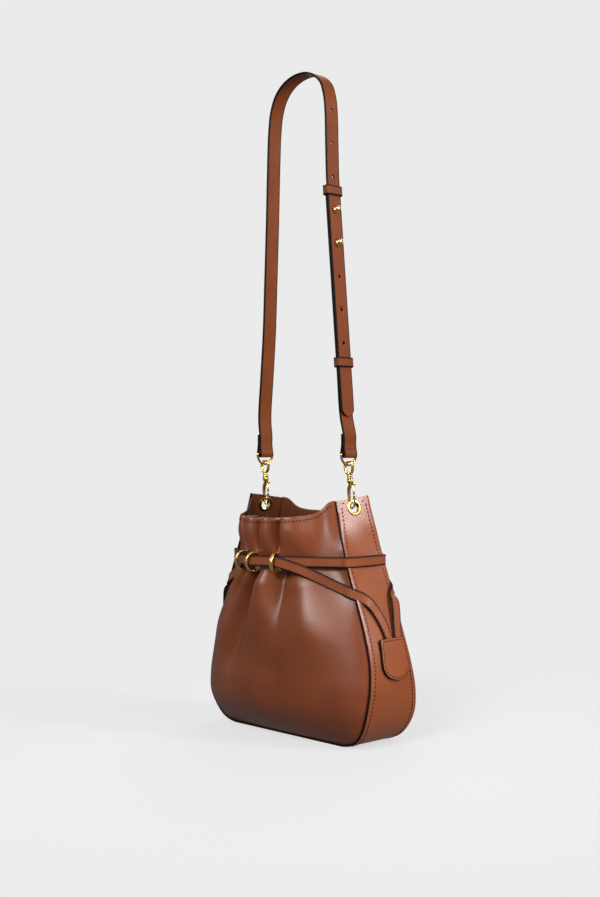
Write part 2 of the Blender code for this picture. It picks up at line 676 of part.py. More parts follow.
def make_keeper(name, z, tall, leather, parent):
    """A leather loop round both straps of the right leg."""
    normal = leg_normal()
    along = np.array([-normal[2], 0, normal[0]])
    middle = np.array([leg_line(z), 0, z])
    sections = []
    for grow in (0, 1.5 * MM):
        half_y = STRAP_WIDTH / 2 + 0.5 * MM + grow
        half_n = STRAP_PAIR + STRAP_THICK / 2 + 0.5 * MM + grow
        cut = 0.6 * MM + grow * 0.6
        outline = [(half_y, half_n - cut), (half_y - cut, half_n)]
        outline += [(cut - half_y, half_n), (-half_y, half_n - cut)]
        outline += [(-a, -b) for a, b in outline]
        for lift in (-tall / 2, tall / 2):
            level = middle + lift * along
            sections.append([level + np.array([0, a, 0]) + b * normal for a, b in outline])
    rings = [sections[0], sections[1], sections[3], sections[2]]
    add_piece(name, *facing_out(*swept(rings, closed=True)), leather, parent)


# ---------------------------------------------------------------- assembly


def main():
    clear_scene()
    leather = finish_of("tan_leather", (0.215, 0.066, 0.026), 0.42, 0.0)
    brass = finish_of("polished_brass", (0.78, 0.52, 0.20), 0.16, 1.0)
    board = finish_of("fibre_board", (0.10, 0.06, 0.04), 0.8, 0.0)

    make_gusset(leather, make_eyelets(brass))
    make_panels(leather)
    make_base_board(board)
    make_rings(brass)
    make_ring_plates(brass)
    make_belts(leather)
    make_tabs(leather)

    swing_z = BOW_Z - HOOK_BOW
    for name in ("right", "left"):
        x, _ = HOOKS[name]
        swing = axis_empty(f"swing_axis_{name}", (x, 0, swing_z))
        stem = axis_empty(f"stem_axis_{name}", hook_frame(name) @ Vector((0, 0, 25 * MM)), swing)
        pivot = hook_frame(name) @ Matrix.Rotation(HOOK_TURN, 4, "Z") @ Vector((3.9 * MM, 0, 17.6 * MM))
        gate = axis_empty(f"gate_axis_{name}", pivot, stem)
        make_eye(name, brass, swing)
        make_hook(name, brass, {"hook": stem, "gate": gate})
        if name == "right":
            strap_axis = axis_empty("strap_axis", (dring_x("right"), 0, DRING_BAR_Z), swing)

    for name in ("right", "left"):
        make_dring(name, brass, strap_axis)
    make_straps(leather, strap_axis)
    make_studs(brass, strap_axis)
    make_keeper("keeper_upper", 600 * MM, 11 * MM, leather, strap_axis)
    slider = axis_empty("keeper_axis", (leg_line(410 * MM), 0, 410 * MM), strap_axis)
    make_keeper("keeper_lower", 410 * MM, 11 * MM, leather, slider)


main()
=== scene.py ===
import json
import math

import bpy
import numpy as np
from mathutils import Matrix, Vector

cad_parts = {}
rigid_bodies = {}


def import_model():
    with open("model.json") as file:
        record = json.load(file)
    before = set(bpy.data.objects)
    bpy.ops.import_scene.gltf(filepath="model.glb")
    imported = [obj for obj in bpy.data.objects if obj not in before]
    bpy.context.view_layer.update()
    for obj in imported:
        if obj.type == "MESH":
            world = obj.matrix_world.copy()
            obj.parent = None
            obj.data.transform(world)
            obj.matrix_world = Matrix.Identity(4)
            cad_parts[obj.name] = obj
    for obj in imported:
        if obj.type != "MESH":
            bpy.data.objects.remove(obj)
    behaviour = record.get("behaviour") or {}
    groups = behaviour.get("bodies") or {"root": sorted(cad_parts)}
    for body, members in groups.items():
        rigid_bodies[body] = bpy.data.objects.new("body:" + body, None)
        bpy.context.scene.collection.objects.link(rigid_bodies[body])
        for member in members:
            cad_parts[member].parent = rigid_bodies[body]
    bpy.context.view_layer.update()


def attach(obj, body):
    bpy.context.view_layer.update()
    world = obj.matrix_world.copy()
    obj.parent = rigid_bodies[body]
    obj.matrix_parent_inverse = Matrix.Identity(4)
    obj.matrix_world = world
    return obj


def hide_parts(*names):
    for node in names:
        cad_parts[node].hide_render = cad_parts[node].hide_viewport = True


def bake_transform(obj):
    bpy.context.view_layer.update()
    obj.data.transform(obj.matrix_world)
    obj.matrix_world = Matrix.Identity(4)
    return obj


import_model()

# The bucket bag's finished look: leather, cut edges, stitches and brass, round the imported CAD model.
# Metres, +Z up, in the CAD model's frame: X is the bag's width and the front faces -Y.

MM = 0.001
UP = np.array([0.0, 0.0, 1.0])
ACROSS = np.array([0.0, 1.0, 0.0])

# ---------------------------------------------------------------- driving dimensions, as in the CAD model

# The gusset's outer face from the middle of the base to its top, as (half width, height) in mm.
SIDE_OUTLINE = [
    (0, 0), (50, 0), (88, 0), (109, 7), (124, 27), (130, 58), (127, 88), (117.7, 120),
    (107, 150), (95.6, 180), (85.1, 210), (77.2, 236), (69.8, 262),
]  # fmt: skip
GUSSET_HALF_DEPTHS = [
    (0, 33), (12, 35), (35, 37), (60, 34.5), (90, 30.7), (130, 28.6),
    (198, 28), (220, 24.6), (238, 21.7), (262, 20.2),
]  # fmt: skip
GUSSET_THICK = 2.8 * MM
GUSSET_PROUD = 1.3 * MM
GUSSET_TOP = 262 * MM
SEAM_INLAY = 6.3 * MM  # how far in from the gusset's edges its stitches run
PANEL_THICK = 1.8 * MM
PANEL_INSET = 2.3 * MM
FOOT_INSET = 1.7 * MM
BELLY_DEPTH = 51 * MM
BELLY_RISE = 28 * MM
GATHER_POWER = 1.15

BELT_Z = 195 * MM
BELT_WIDTH = 11.8 * MM
BELT_THICK = 2.0 * MM
BELT_BORDER = 0.4 * MM  # how far the edge paint comes over the belt's faces
INNER_LAYER = 1.9 * MM
OUTER_LAYER = 4.3 * MM
RING_PLACES = {
    "left": ((-25, -72.1), (-0.34, -0.94)),
    "centre": ((0, -79.6), (-0.25, -0.97)),
    "right": ((25, -72.1), (0.34, -0.94)),
}
RING_RADIUS = 9.8 * MM

EYELET_Z = 252 * MM
EYELET_CUT = 6.1 * MM  # the radius of the hole in the leather, just round the eyelet's barrel
HOOK_BOW = 6.0 * MM
HOOK_TURN = math.radians(-20)
BOW_SHIFT = -0.5 * MM  # across and down, so that the bow hangs in the middle of its eyelet
BOW_Z = 258.2 * MM
HOOKS = {"right": (69.9 * MM, math.radians(-8)), "left": (-69.3 * MM, math.radians(-3.4))}
DRING_BAR_Z = 309.6 * MM
DRING_RADIUS = 11.7 * MM

STRAP_WIDTH = 20 * MM
STRAP_THICK = 2.2 * MM
STRAP_BORDER = 0.8 * MM
STRAP_PAIR = 1.28 * MM
KEEPER_BORDER = 1.1 * MM
LEG_FOOT = (62.1, 348)
LEG_LEAN = -0.089
HOLE_TOP_Z = 689.5 * MM
HOLE_PITCH = 36.9 * MM
HOLE_COUNT = 8
HOLE_RADIUS = 1.7 * MM
STUD_HOLES = (3, 4)

TAB_Z = 114 * MM
TAB_Y = 4 * MM
TAB_THICK = 3.4 * MM

# ---------------------------------------------------------------- curves


def mix(a, b, start, end, at):
    return (a * (end - at) + b * (at - start)) / (end - start)


def smooth_curve(knots, per_span):
    """Points on the centripetal Catmull-Rom curve through the knots, whose first columns are a place."""
    knots = np.array(knots, float)
    knots = np.vstack([2 * knots[0] - knots[1], knots, 2 * knots[-1] - knots[-2]])
    points = []
    for i in range(1, len(knots) - 2):
        four = knots[i - 1 : i + 3]
        steps = np.sqrt(np.linalg.norm(np.diff(four[:, :3], axis=0), axis=1))
        t = np.concatenate([[0.0], np.cumsum(np.maximum(steps, 1e-6))])
        for at in np.linspace(t[1], t[2], per_span, endpoint=False):
            a = [mix(four[k], four[k + 1], t[k], t[k + 1], at) for k in range(3)]
            b = [mix(a[k], a[k + 1], t[k], t[k + 2], at) for k in range(2)]
            points.append(mix(b[0], b[1], t[1], t[2], at))
    points.append(knots[-2])
    return np.array(points)


def run_lengths(points):
    return np.concatenate([[0.0], np.cumsum(np.linalg.norm(np.diff(points[:, :3], axis=0), axis=1))])


def at_lengths(values, places, lengths=None):
    """A line's values at some places along it; the lengths are its own unless they are given."""
    lengths = run_lengths(values) if lengths is None else lengths
    return np.column_stack([np.interp(places, lengths, column) for column in values.T])


def resample(points, count):
    return at_lengths(points, np.linspace(0, run_lengths(points)[-1], count))


def unit(vectors):
    return vectors / np.linalg.norm(vectors, axis=-1, keepdims=True)


def smoothstep(start, end, value):
    t = np.clip((value - start) / (end - start), 0, 1)
    return t * t * (3 - 2 * t)


def hump(value, middle, width):
    return np.exp(-(((value - middle) / width) ** 2))


def inset_line(line, distance):
    along = unit(np.gradient(line, axis=0))
    return line + distance * np.column_stack([-along[:, 1], along[:, 0]])


HALF_OUTLINE = smooth_curve(SIDE_OUTLINE, 24) * MM
HALF_OUTLINE[:, 1] = np.maximum(HALF_OUTLINE[:, 1], 0)
SEAM_INSET = mix(FOOT_INSET, PANEL_INSET, 0, 1, smoothstep(0, 30 * MM, HALF_OUTLINE[:, 1]))
SEAM_LINE = inset_line(HALF_OUTLINE, SEAM_INSET[:, None])
DEPTH_CURVE = smooth_curve(GUSSET_HALF_DEPTHS, 8) * MM
BASE_END = 36  # where the outline leaves the base's flat


def half_width(z):
    return np.interp(z, HALF_OUTLINE[BASE_END:, 1], HALF_OUTLINE[BASE_END:, 0])


def half_depth(z):
    return np.interp(z, DEPTH_CURVE[:, 0], DEPTH_CURVE[:, 1])


TWIST_RISE = 0.3 * MM
TOP_TWIST = 0.20
TOP_SLOPE = 1.8 * MM  # how far the gusset's top corners stand off level
EYELET_TURN = math.radians(13)


def top_twist(z):
    """The gusset's tops are turned a little, as the hooks pull them: the slope of that turn."""
    return TOP_TWIST * smoothstep(198 * MM, 240 * MM, z)


def side_normal(z):
    step = 4 * MM
    lean = (half_width(z + step) - half_width(z - step)) / (2 * step)
    return unit(np.array([1.0, 0.0, -lean]))


# ---------------------------------------------------------------- meshes


def settled(points):
    """The bag leans a little on its right side, so that its left one is narrower."""
    points = np.array(points, float)
    pull = 0.03 * hump(points[:, 2], 74 * MM, 40 * MM) + 0.025 * hump(points[:, 2], 10 * MM, 20 * MM)
    points[:, 0] *= 1 - np.where(points[:, 0] < 0, pull, 0)
    return points


def finish_mesh(name, points, faces, materials, indices=None, sharp=40):
    """An object from world points, with its faces' material indices."""
    mesh = bpy.data.meshes.new(name)
    mesh.from_pydata([tuple(p) for p in points], [], [tuple(f) for f in faces])
    for material in materials:
        mesh.materials.append(material)
    if indices is not None:
        mesh.polygons.foreach_set("material_index", indices)
    mesh.shade_smooth()
    mesh.set_sharp_from_angle(angle=math.radians(sharp))
    mesh.update()
    obj = bpy.data.objects.new(name, mesh)
    bpy.context.scene.collection.objects.link(obj)
    return obj


def place_piece(obj, body, slot, *nodes):
    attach(obj, body)
    if nodes:
        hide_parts(*nodes)
    return obj


def brass_piece(node, shape, body, sharp=60):
    """A brass mesh in the place of one CAD node."""
    return place_piece(finish_mesh(f"{node}_brass", *shape, [BRASS], None, sharp), body, "brass", node)


def thread_piece(name, shape, body, slot):
    """Stitches that go with the leather they are sewn in."""
    return place_piece(finish_mesh(name, *shape, [DARK_THREAD]), body, slot)


def in_mm(rows):
    return np.array(rows) * MM


def facing_out(points, faces):
    volume = 0.0
    for face in faces:
        for k in range(1, len(face) - 1):
            volume += np.dot(points[face[0]], np.cross(points[face[k]], points[face[k + 1]]))
    return points, [face[::-1] for face in faces] if volume < 0 else faces


def swept(sections, closed=False):
    """Points and faces of a bar through a row of sections, each the same number of points."""
    sections = np.array(sections)
    count, sides = sections.shape[:2]
    faces = []
    for i in range(count if closed else count - 1):
        j = (i + 1) % count
        for k in range(sides):
            after = (k + 1) % sides
            faces.append((i * sides + k, i * sides + after, j * sides + after, j * sides + k))
    if not closed:
        faces.append(tuple(range(sides))[::-1])
        faces.append(tuple((count - 1) * sides + k for k in range(sides)))
    return sections.reshape(-1, 3), faces


def tangents(path, closed=False):
    if closed:
        return unit(np.roll(path, -1, axis=0) - np.roll(path, 1, axis=0))
    return unit(np.gradient(path, axis=0))


def tube(path, radii, plane_normal, closed=False, sides=16, flatten=1.0):
    """A round bar along a path in one plane; radii may change along it."""
    path = np.array(path, float)
    radii = np.broadcast_to(np.array(radii, float), len(path))
    across = unit(np.array(plane_normal, float))
    angles = 2 * math.pi * np.arange(sides) / sides
    sections = []
    for place, along, radius in zip(path, tangents(path, closed), radii):
        out = np.cross(across, along)
        ring = np.outer(np.cos(angles), out) + flatten * np.outer(np.sin(angles), across)
        sections.append(place + radius * ring)
    return facing_out(*swept(sections, closed))


def lathe(profile, place, axis, sides=48, closed_profile=True):
    """A turned piece: a closed ring profile of (radius, height), or an open one capped at both ends."""
    axis = unit(np.array(axis, float))
    first = unit(np.cross(axis, ACROSS if abs(axis[1]) < 0.9 else (1.0, 0.0, 0.0)))
    second = np.cross(axis, first)
    angles = 2 * math.pi * np.arange(sides) / sides
    circle = np.outer(np.cos(angles), first) + np.outer(np.sin(angles), second)
    rings = [np.array(place) + r * circle + h * axis for r, h in profile]
    return facing_out(*swept(rings, closed=closed_profile))


def join_shapes(*shapes):
    points, faces, start = [], [], 0
    for part_points, part_faces in shapes:
        points.append(np.array(part_points))
        faces += [tuple(i + start for i in face) for face in part_faces]
        start += len(part_points)
    return np.concatenate(points), faces


def band_section(width, thick, border, edge_points=5):
    """A flat band's section as (across, up) points, and which of its sides carry the edge paint."""
    half, radius = width / 2, thick / 2
    flat = half - radius * 0.8
    inner = max(flat - border, 0.1 * flat)
    points, is_edge = [], []
    for sign in (1, -1):
        for across, painted in ((flat, 1), (inner, 0), (inner / 3, 0), (-inner / 3, 0), (-inner, 1)):
            points.append((sign * across, sign * radius))
            is_edge.append(painted)
        for k in range(edge_points):
            angle = math.pi / 2 - math.pi * k / edge_points
            across = -(half - radius * 0.8) - 0.8 * radius * math.cos(angle)
            points.append((sign * across, sign * radius * math.sin(angle)))
            is_edge.append(1)
    return np.array(points), is_edge


def band(path, normals, width, thick, border):
    """A flat band with rounded cut edges along a path: its points, faces and material indices."""
    path = np.array(path, float)
    along = tangents(path)
    side = unit(np.cross(along, normals))
    face = np.cross(side, along)
    width = np.broadcast_to(np.array(width, float), len(path))
    _, is_edge = band_section(1, 0.1, 0.1)
    sections = []
    for i, place in enumerate(path):
        shape, _ = band_section(max(width[i], thick * 1.01), thick, border)
        sections.append(place + shape[:, :1] * side[i] + shape[:, 1:] * face[i])
    points, faces = swept(sections)
    indices = [is_edge[k] for _ in range(len(path) - 1) for k in range(len(is_edge))] + [1, 1]
    turned_points, turned_faces = facing_out(points, faces)
    return turned_points, turned_faces, indices


def stitches(path, normals, length=2.9 * MM, gap=1.3 * MM, radius=0.52 * MM, sink=0.4):
    """A row of separate stitches lying along a path, each one an arched, tapered thread."""
    path = np.array(path, float)
    normals = np.broadcast_to(np.array(normals, float), path.shape)
    total = run_lengths(path)[-1]
    count = max(int(total / (length + gap)), 1)
    pitch = total / count
    both = np.hstack([path, normals])
    half_profile = [(0.0, 0.55, -0.75), (0.12, 0.95, -0.1)]
    other_half = [(1 - at, wide, lift) for at, wide, lift in half_profile[::-1]]
    profile = [*half_profile, (0.5, 1.0, 0.15), *other_half]
    angles = 2 * math.pi * np.arange(6) / 6
    shapes = []
    for k in range(count):
        start = k * pitch + (pitch - length) / 2
        rows = at_lengths(both, start + length * np.array([p[0] for p in profile]))
        places, up = rows[:, :3], unit(rows[:, 3:])
        along = tangents(places)
        side = unit(np.cross(along, up))
        rings = []
        for i, (_, wide, lift) in enumerate(profile):
            ring = np.outer(np.cos(angles), side[i]) * 1.15 + np.outer(np.sin(angles), up[i])
            rings.append(places[i] + (lift + sink) * radius * up[i] + radius * wide * ring)
        shapes.append(swept(rings))
    return join_shapes(*shapes)


# ---------------------------------------------------------------- materials


def add_node(tree, kind, values=None, sources=None, **settings):
    """A shader node with its settings, the values of its inputs and the outputs that feed the others."""
    node = tree.nodes.new(f"ShaderNode{kind}")
    for key, value in settings.items():
        setattr(node, key, value)
    for key, value in (values or {}).items():
        node.inputs[key].default_value = value
    for key, output in (sources or {}).items():
        tree.links.new(output, node.inputs[key])
    return node


def new_material(name):
    """A material with its node tree, its shader and the object's own coordinates."""
    material = bpy.data.materials.new(name)
    material.use_nodes = True
    tree = material.node_tree
    return material, tree, tree.nodes["Principled BSDF"], add_node(tree, "TexCoord").outputs["Object"]


def noise(tree, place, scale, detail=3.0, roughness=0.5):
    values = {"Scale": scale, "Detail": detail, "Roughness": roughness}
    return add_node(tree, "TexNoise", values, {"Vector": place}).outputs["Fac"]


def two_tone(tree, factor, low, dark, high, light):
    """A ramp from one colour to another."""
    ramp = add_node(tree, "ValToRGB", sources={"Fac": factor})
    for element, position, colour in zip(ramp.color_ramp.elements, (low, high), (dark, light)):
        element.position = position
        element.color = (*colour, 1)
    return ramp.outputs["Color"]


def spread(tree, factor, low, high):
    return add_node(tree, "MapRange", {"To Min": low, "To Max": high}, {"Value": factor}).outputs["Result"]


def bump(tree, height, strength, distance, below=None):
    sources = {"Height": height, **({"Normal": below} if below else {})}
    return add_node(tree, "Bump", {"Strength": strength, "Distance": distance}, sources).outputs["Normal"]


def leather_material(name, dark, light, roughness, grain=0.2, gloss=0.5):
    """Smooth calf: cloudy colour, fine pebbled grain with pores, and a polish that varies over it."""
    material, tree, shader, place = new_material(name)
    colour = two_tone(tree, noise(tree, place, 22, 4, 0.55), 0.3, dark, 0.72, light)
    tint = two_tone(tree, noise(tree, place, 900, 2, 0.6), 0.3, (0.72, 0.68, 0.66), 0.7, (1.0, 1.0, 1.0))
    speckled = {"data_type": "RGBA", "blend_type": "MULTIPLY"}
    fine = add_node(tree, "Mix", {"Factor": 0.22}, {"A": colour, "B": tint}, **speckled)
    cells = add_node(tree, "TexVoronoi", {"Scale": 1050}, {"Vector": place}).outputs["Distance"]
    pores = noise(tree, place, 950, 2, 0.6)
    height = add_node(tree, "Math", {1: 0.6}, {0: cells, 2: pores}, operation="MULTIPLY_ADD").outputs["Value"]
    pebbles = bump(tree, height, grain, 0.25 * MM)
    creases = bump(tree, noise(tree, place, 70, 3, 0.5), 0.10, 1.5 * MM, pebbles)
    tree.links.new(fine.outputs["Result"], shader.inputs["Base Color"])
    tree.links.new(spread(tree, noise(tree, place, 60), *roughness), shader.inputs["Roughness"])
    tree.links.new(creases, shader.inputs["Normal"])
    shader.inputs["Specular IOR Level"].default_value = gloss
    return material


def rough_material(name, dark, light, roughness, scale, bump_mm, gloss=0.5):
    """A dull surface with a fine noise in its colour and height: thread, board or edge paint."""
    material, tree, shader, place = new_material(name)
    cloud = noise(tree, place, scale, 4, 0.6)
    tree.links.new(two_tone(tree, cloud, 0.3, dark, 0.7, light), shader.inputs["Base Color"])
    tree.links.new(bump(tree, cloud, 0.5, bump_mm * MM), shader.inputs["Normal"])
    shader.inputs["Roughness"].default_value = roughness
    shader.inputs["Specular IOR Level"].default_value = gloss
    return material


def brass_material(name, dark, light, roughness):
    """Polished brass with faint handling marks."""
    material, tree, shader, place = new_material(name)
    colour = two_tone(tree, noise(tree, place, 120), 0.3, dark, 0.7, light)
    polish = spread(tree, noise(tree, place, 700, 3, 0.7), roughness * 0.7, roughness * 1.4)
    tree.links.new(colour, shader.inputs["Base Color"])
    tree.links.new(polish, shader.inputs["Roughness"])
    shader.inputs["Metallic"].default_value = 1.0
    return material


PANEL_LEATHER = leather_material(
    "panel_leather", (0.166, 0.039, 0.012), (0.210, 0.052, 0.016), (0.34, 0.42), 0.3, 0.46
)
GUSSET_LEATHER = leather_material(
    "gusset_leather", (0.226, 0.056, 0.016), (0.272, 0.069, 0.021), (0.28, 0.36), gloss=0.6
)
BELT_LEATHER = leather_material(
    "belt_leather", (0.215, 0.055, 0.018), (0.266, 0.070, 0.024), (0.38, 0.46), gloss=0.35
)
STRAP_LEATHER = leather_material(
    "strap_leather", (0.146, 0.036, 0.009), (0.182, 0.046, 0.013), (0.42, 0.52), gloss=0.15
)
INSIDE_LEATHER = leather_material(
    "inside_leather", (0.090, 0.025, 0.009), (0.120, 0.034, 0.012), (0.5, 0.65), gloss=0.2
)
EDGE_PAINT = rough_material(
    "edge_paint", (0.005, 0.003, 0.002), (0.010, 0.005, 0.004), 0.5, 600, 0.08, 0.12
)
RIM_PAINT = rough_material("rim_paint", (0.05, 0.018, 0.009), (0.08, 0.026, 0.012), 0.6, 600, 0.08)
DARK_THREAD = rough_material("dark_thread", (0.022, 0.006, 0.004), (0.045, 0.012, 0.007), 0.55, 3000, 0.1)
BOARD = rough_material("fibre_board", (0.07, 0.045, 0.03), (0.12, 0.075, 0.05), 0.85, 900, 0.2)
BRASS = brass_material("polished_brass", (0.92, 0.62, 0.19), (0.98, 0.72, 0.27), 0.20)
PLATE_BRASS = brass_material("satin_brass", (0.50, 0.34, 0.14), (0.60, 0.42, 0.18), 0.35)

# ---------------------------------------------------------------- the panels


# How far the panel stands out, as (distance from the bag's middle, depth) in mm: at the rim and the belts.
# The second rim profile hangs less full than the first. Each panel's left side lies between the two.
RIM_FULL = [
    (0, 60), (3, 72), (8, 78), (12.5, 79.5), (17, 77.5), (22, 69), (25, 54), (28, 66.5), (32, 70.5),
    (38, 68), (44, 61.5), (49, 50.5), (54, 40), (58.5, 34), (63.5, 29.5), (69.8, 21.2),
]  # fmt: skip
RIM_LEAN = [
    (0, 60), (3, 72), (8, 78), (12.5, 79.5), (17, 77.5), (22, 69), (25, 54), (28, 65), (32, 68.5),
    (38, 62.5), (46, 53.5), (53, 44), (58.5, 35), (63.5, 27.5), (69.8, 21.2),
]  # fmt: skip
BELT_PROFILE = [
    (0, 77), (6, 76), (12.5, 74.8), (18, 72.5), (25, 70), (28.4, 68), (32, 64.5), (38.8, 57), (46.4, 49),
    (53.3, 42), (60.2, 34.5), (65.7, 29.5), (69.8, 27.6),
]  # fmt: skip
NARROW_END = 69.8 * MM  # the half width at which the profiles are written


def profile_depth(profile, place):
    curve = smooth_curve([(x, depth) for x, depth in profile], 10) * MM
    return np.interp(np.abs(place), curve[:, 0], curve[:, 1])


def upper_depth(x, z, lean):
    """The panel's depth above the belts: columns between the rings, and a wide lobe on each side of them."""
    width = np.interp(z, SEAM_LINE[BASE_END:, 1], SEAM_LINE[BASE_END:, 0])
    beyond = np.maximum(np.abs(x) - 25 * MM, 0)
    place = np.minimum(np.abs(x), 25 * MM) + beyond * (NARROW_END - 25 * MM) / (width - 25 * MM)
    share = smoothstep(2 * MM, 36 * MM, z - BELT_Z) ** 0.8
    full = profile_depth(RIM_FULL, place)
    rim = full + np.where(x > 0, 0, lean) * (profile_depth(RIM_LEAN, place) - full)
    depth = rim * share + profile_depth(BELT_PROFILE, place) * (1 - share)
    return depth + (half_depth(z) - half_depth(BELT_Z) * (1 - share) - half_depth(250 * MM) * share)


# Below the belts: each valley's start, slant, depth, reach and how much wider its right side is, in mm.
VALLEYS = [(-1.5, -0.44, 31, 150, 0), (25.5, 0.10, 20, 100, 0.7), (-26, -0.60, 18, 95, 0)]
BELT_SWELL = 9 * MM


def lower_depth(across, x, z, foot):
    """The panel's depth below the belts: a full belly, cut by valleys that run down from the rings."""
    down = (BELT_Z - z) / MM
    belly = BELLY_DEPTH * (1 - np.exp(-(z - foot) / BELLY_RISE))
    full = np.maximum(1 - across**2, 0) ** 0.7
    gathered = 0.5 * (1 + np.cos(math.pi * np.abs(across) ** GATHER_POWER))
    share = smoothstep(110 * MM, 190 * MM, z)
    depth = half_depth(z) - 0.5 * MM + belly * (full * (1 - share) + gathered * share)
    swell = smoothstep(2, 26, down) * (1 - smoothstep(45, 120, down))
    depth += BELT_SWELL * swell * (1 - smoothstep(0.55, 0.97, np.abs(across)))
    for start, slant, deep, reach, opening in VALLEYS:
        past = x / MM - start - slant * down
        away = np.abs(past) / (7.5 + 0.10 * np.maximum(down, 0)) / (1 + opening * (past > 0))
        strength = smoothstep(-2, 16, down) * (1 - smoothstep(0.12 * reach, reach, down))
        depth -= deep * MM * strength * np.exp(-(away**1.5))
    return depth


def panel_depth(across, x, z, foot, lean):
    share = smoothstep(-5 * MM, 3 * MM, z - BELT_Z)
    soft = 0.5 * np.sin(x / MM * 0.11 + z / MM * 0.05) + 0.4 * np.sin(z / MM * 0.09 - x / MM * 0.06)
    near_seam = 1 - smoothstep(0.86, 0.99, np.abs(across))
    depth = lower_depth(across, x, z, foot) * (1 - share) + upper_depth(x, z, lean) * share
    return depth + 0.5 * MM * soft * near_seam * smoothstep(foot, 40 * MM, z)


RIM_HEIGHTS = [
    (0, 240.5), (0.3, 241), (0.5, 242), (0.7, 244), (0.8, 247.5), (0.88, 253), (0.95, 258), (1, 259.5),
]  # fmt: skip


def rim_height(across):
    curve = smooth_curve([(t * 100, z) for t, z in RIM_HEIGHTS], 8)
    return np.interp(np.abs(across) * 100, curve[:, 0], curve[:, 1]) * MM


def panel_grid(rows, columns, lean):
    """The front panel's outer face: rows from foot to rim, columns from left seam to right."""
    lift = np.linspace(0, 1, rows) ** 1.35
    across = np.linspace(-1, 1, columns)
    across = np.sign(across) * (1 - (1 - np.abs(across)) ** 1.25)
    seam = SEAM_LINE[BASE_END:]
    foot = seam[0, 1]
    grid = np.zeros((rows, columns, 3))
    for r in range(rows):
        z = foot + (rim_height(across) - foot) * lift[r]
        x = across * np.interp(z, seam[:, 1], seam[:, 0])
        depth = panel_depth(across, x, z, foot, lean)
        shift = top_twist(z) * half_depth(z) * smoothstep(0.5, 1, np.abs(across))
        grid[r] = np.column_stack([x - shift, -depth, z])
    return grid


def grid_normals(grid):
    return unit(np.cross(np.gradient(grid, axis=1), np.gradient(grid, axis=0)))


def make_panel(name, turn, lean):
    rows, columns = 150, 261
    outer = panel_grid(rows, columns, lean)
    normal = grid_normals(outer)
    inner = outer - PANEL_THICK * normal
    inner[..., 2] = np.maximum(inner[..., 2], outer[0, 0, 2])
    middle = (outer[-1] + inner[-1]) / 2 + 0.55 * MM * UP
    quarter = [(outer[-1] * 0.82 + inner[-1] * 0.18) + 0.36 * MM * UP]
    quarter += [middle, (outer[-1] * 0.18 + inner[-1] * 0.82) + 0.36 * MM * UP]
    loop = [outer, *[row[None] for row in quarter], inner[::-1]]
    sheet = np.concatenate(loop) * turn
    count = len(sheet)
    faces, indices = [], []
    for r in range(count):
        s = (r + 1) % count
        for c in range(columns - 1):
            faces.append((r * columns + c, r * columns + c + 1, s * columns + c + 1, s * columns + c))
            indices.append(0 if r < rows - 1 else 2 if r < rows + 3 else 1)
    for c, order in ((0, 1), (columns - 1, -1)):
        for r in range(rows - 1):
            back = count - 1 - r
            quad = (r * columns + c, (r + 1) * columns + c, (back - 1) * columns + c, back * columns + c)
            faces.append(quad[::order])
            indices.append(2)
    points, faces = facing_out(settled(sheet.reshape(-1, 3)), faces)
    obj = finish_mesh(f"{name}_shell", points, faces, [PANEL_LEATHER, INSIDE_LEATHER, RIM_PAINT], indices, 60)
    place_piece(obj, "bag", "panel_leather", name)
    grid_row = rows - 1
    while outer[grid_row, columns // 2, 2] > outer[-1, columns // 2, 2] - 4.2 * MM:
        grid_row -= 1
    seam_row = outer[grid_row, 8:-8] * turn
    seam_normal = normal[grid_row, 8:-8] * turn
    thread_piece(f"{name}_rim_stitches", stitches(seam_row, seam_normal), "bag", "panel_leather")


# ---------------------------------------------------------------- the gusset


def whole_outline(count):
    """The gusset's outline from one top to the other, with the way it faces."""
    half = resample(HALF_OUTLINE, count)
    outline = np.vstack([half[:0:-1] * (-1, 1), half])
    along = unit(np.gradient(outline, axis=0))
    return outline, np.column_stack([along[:, 1], -along[:, 0]])


def gusset_bow(z):
    """How far the middle of the gusset stands out from its edges: pulled in by the belts, full below."""
    return 2.2 * MM * hump(z, 95 * MM, 45 * MM) - 1.6 * MM * hump(z, 205 * MM, 22 * MM)


def eyelet_twist(share, z):
    """How far the leather stands out of its plain shape round the eyelets, where the hooks turn it."""
    turned = top_twist(z) * half_depth(z) * share
    return turned + TWIST_RISE * np.sin(math.pi * share) * smoothstep(215 * MM, 245 * MM, z)


def top_drop(share, z):
    """The gusset's top corners stand a little off level."""
    return TOP_SLOPE * share * smoothstep(235 * MM, GUSSET_TOP, z)


def gusset_face(outline, outward, share, lift=0.0):
    """A row of points on the gusset's outer face at a share of its half width from its middle."""
    side = np.sign(outline[:, 0])
    depth = half_depth(outline[:, 1]) + GUSSET_PROUD
    bow = gusset_bow(outline[:, 1]) * (1 - share**2) + lift + eyelet_twist(share * side, outline[:, 1])
    flat = outline + bow[:, None] * outward
    drop = top_drop(share * side, outline[:, 1])
    return np.column_stack([flat[:, 0], share * depth, flat[:, 1] + drop])


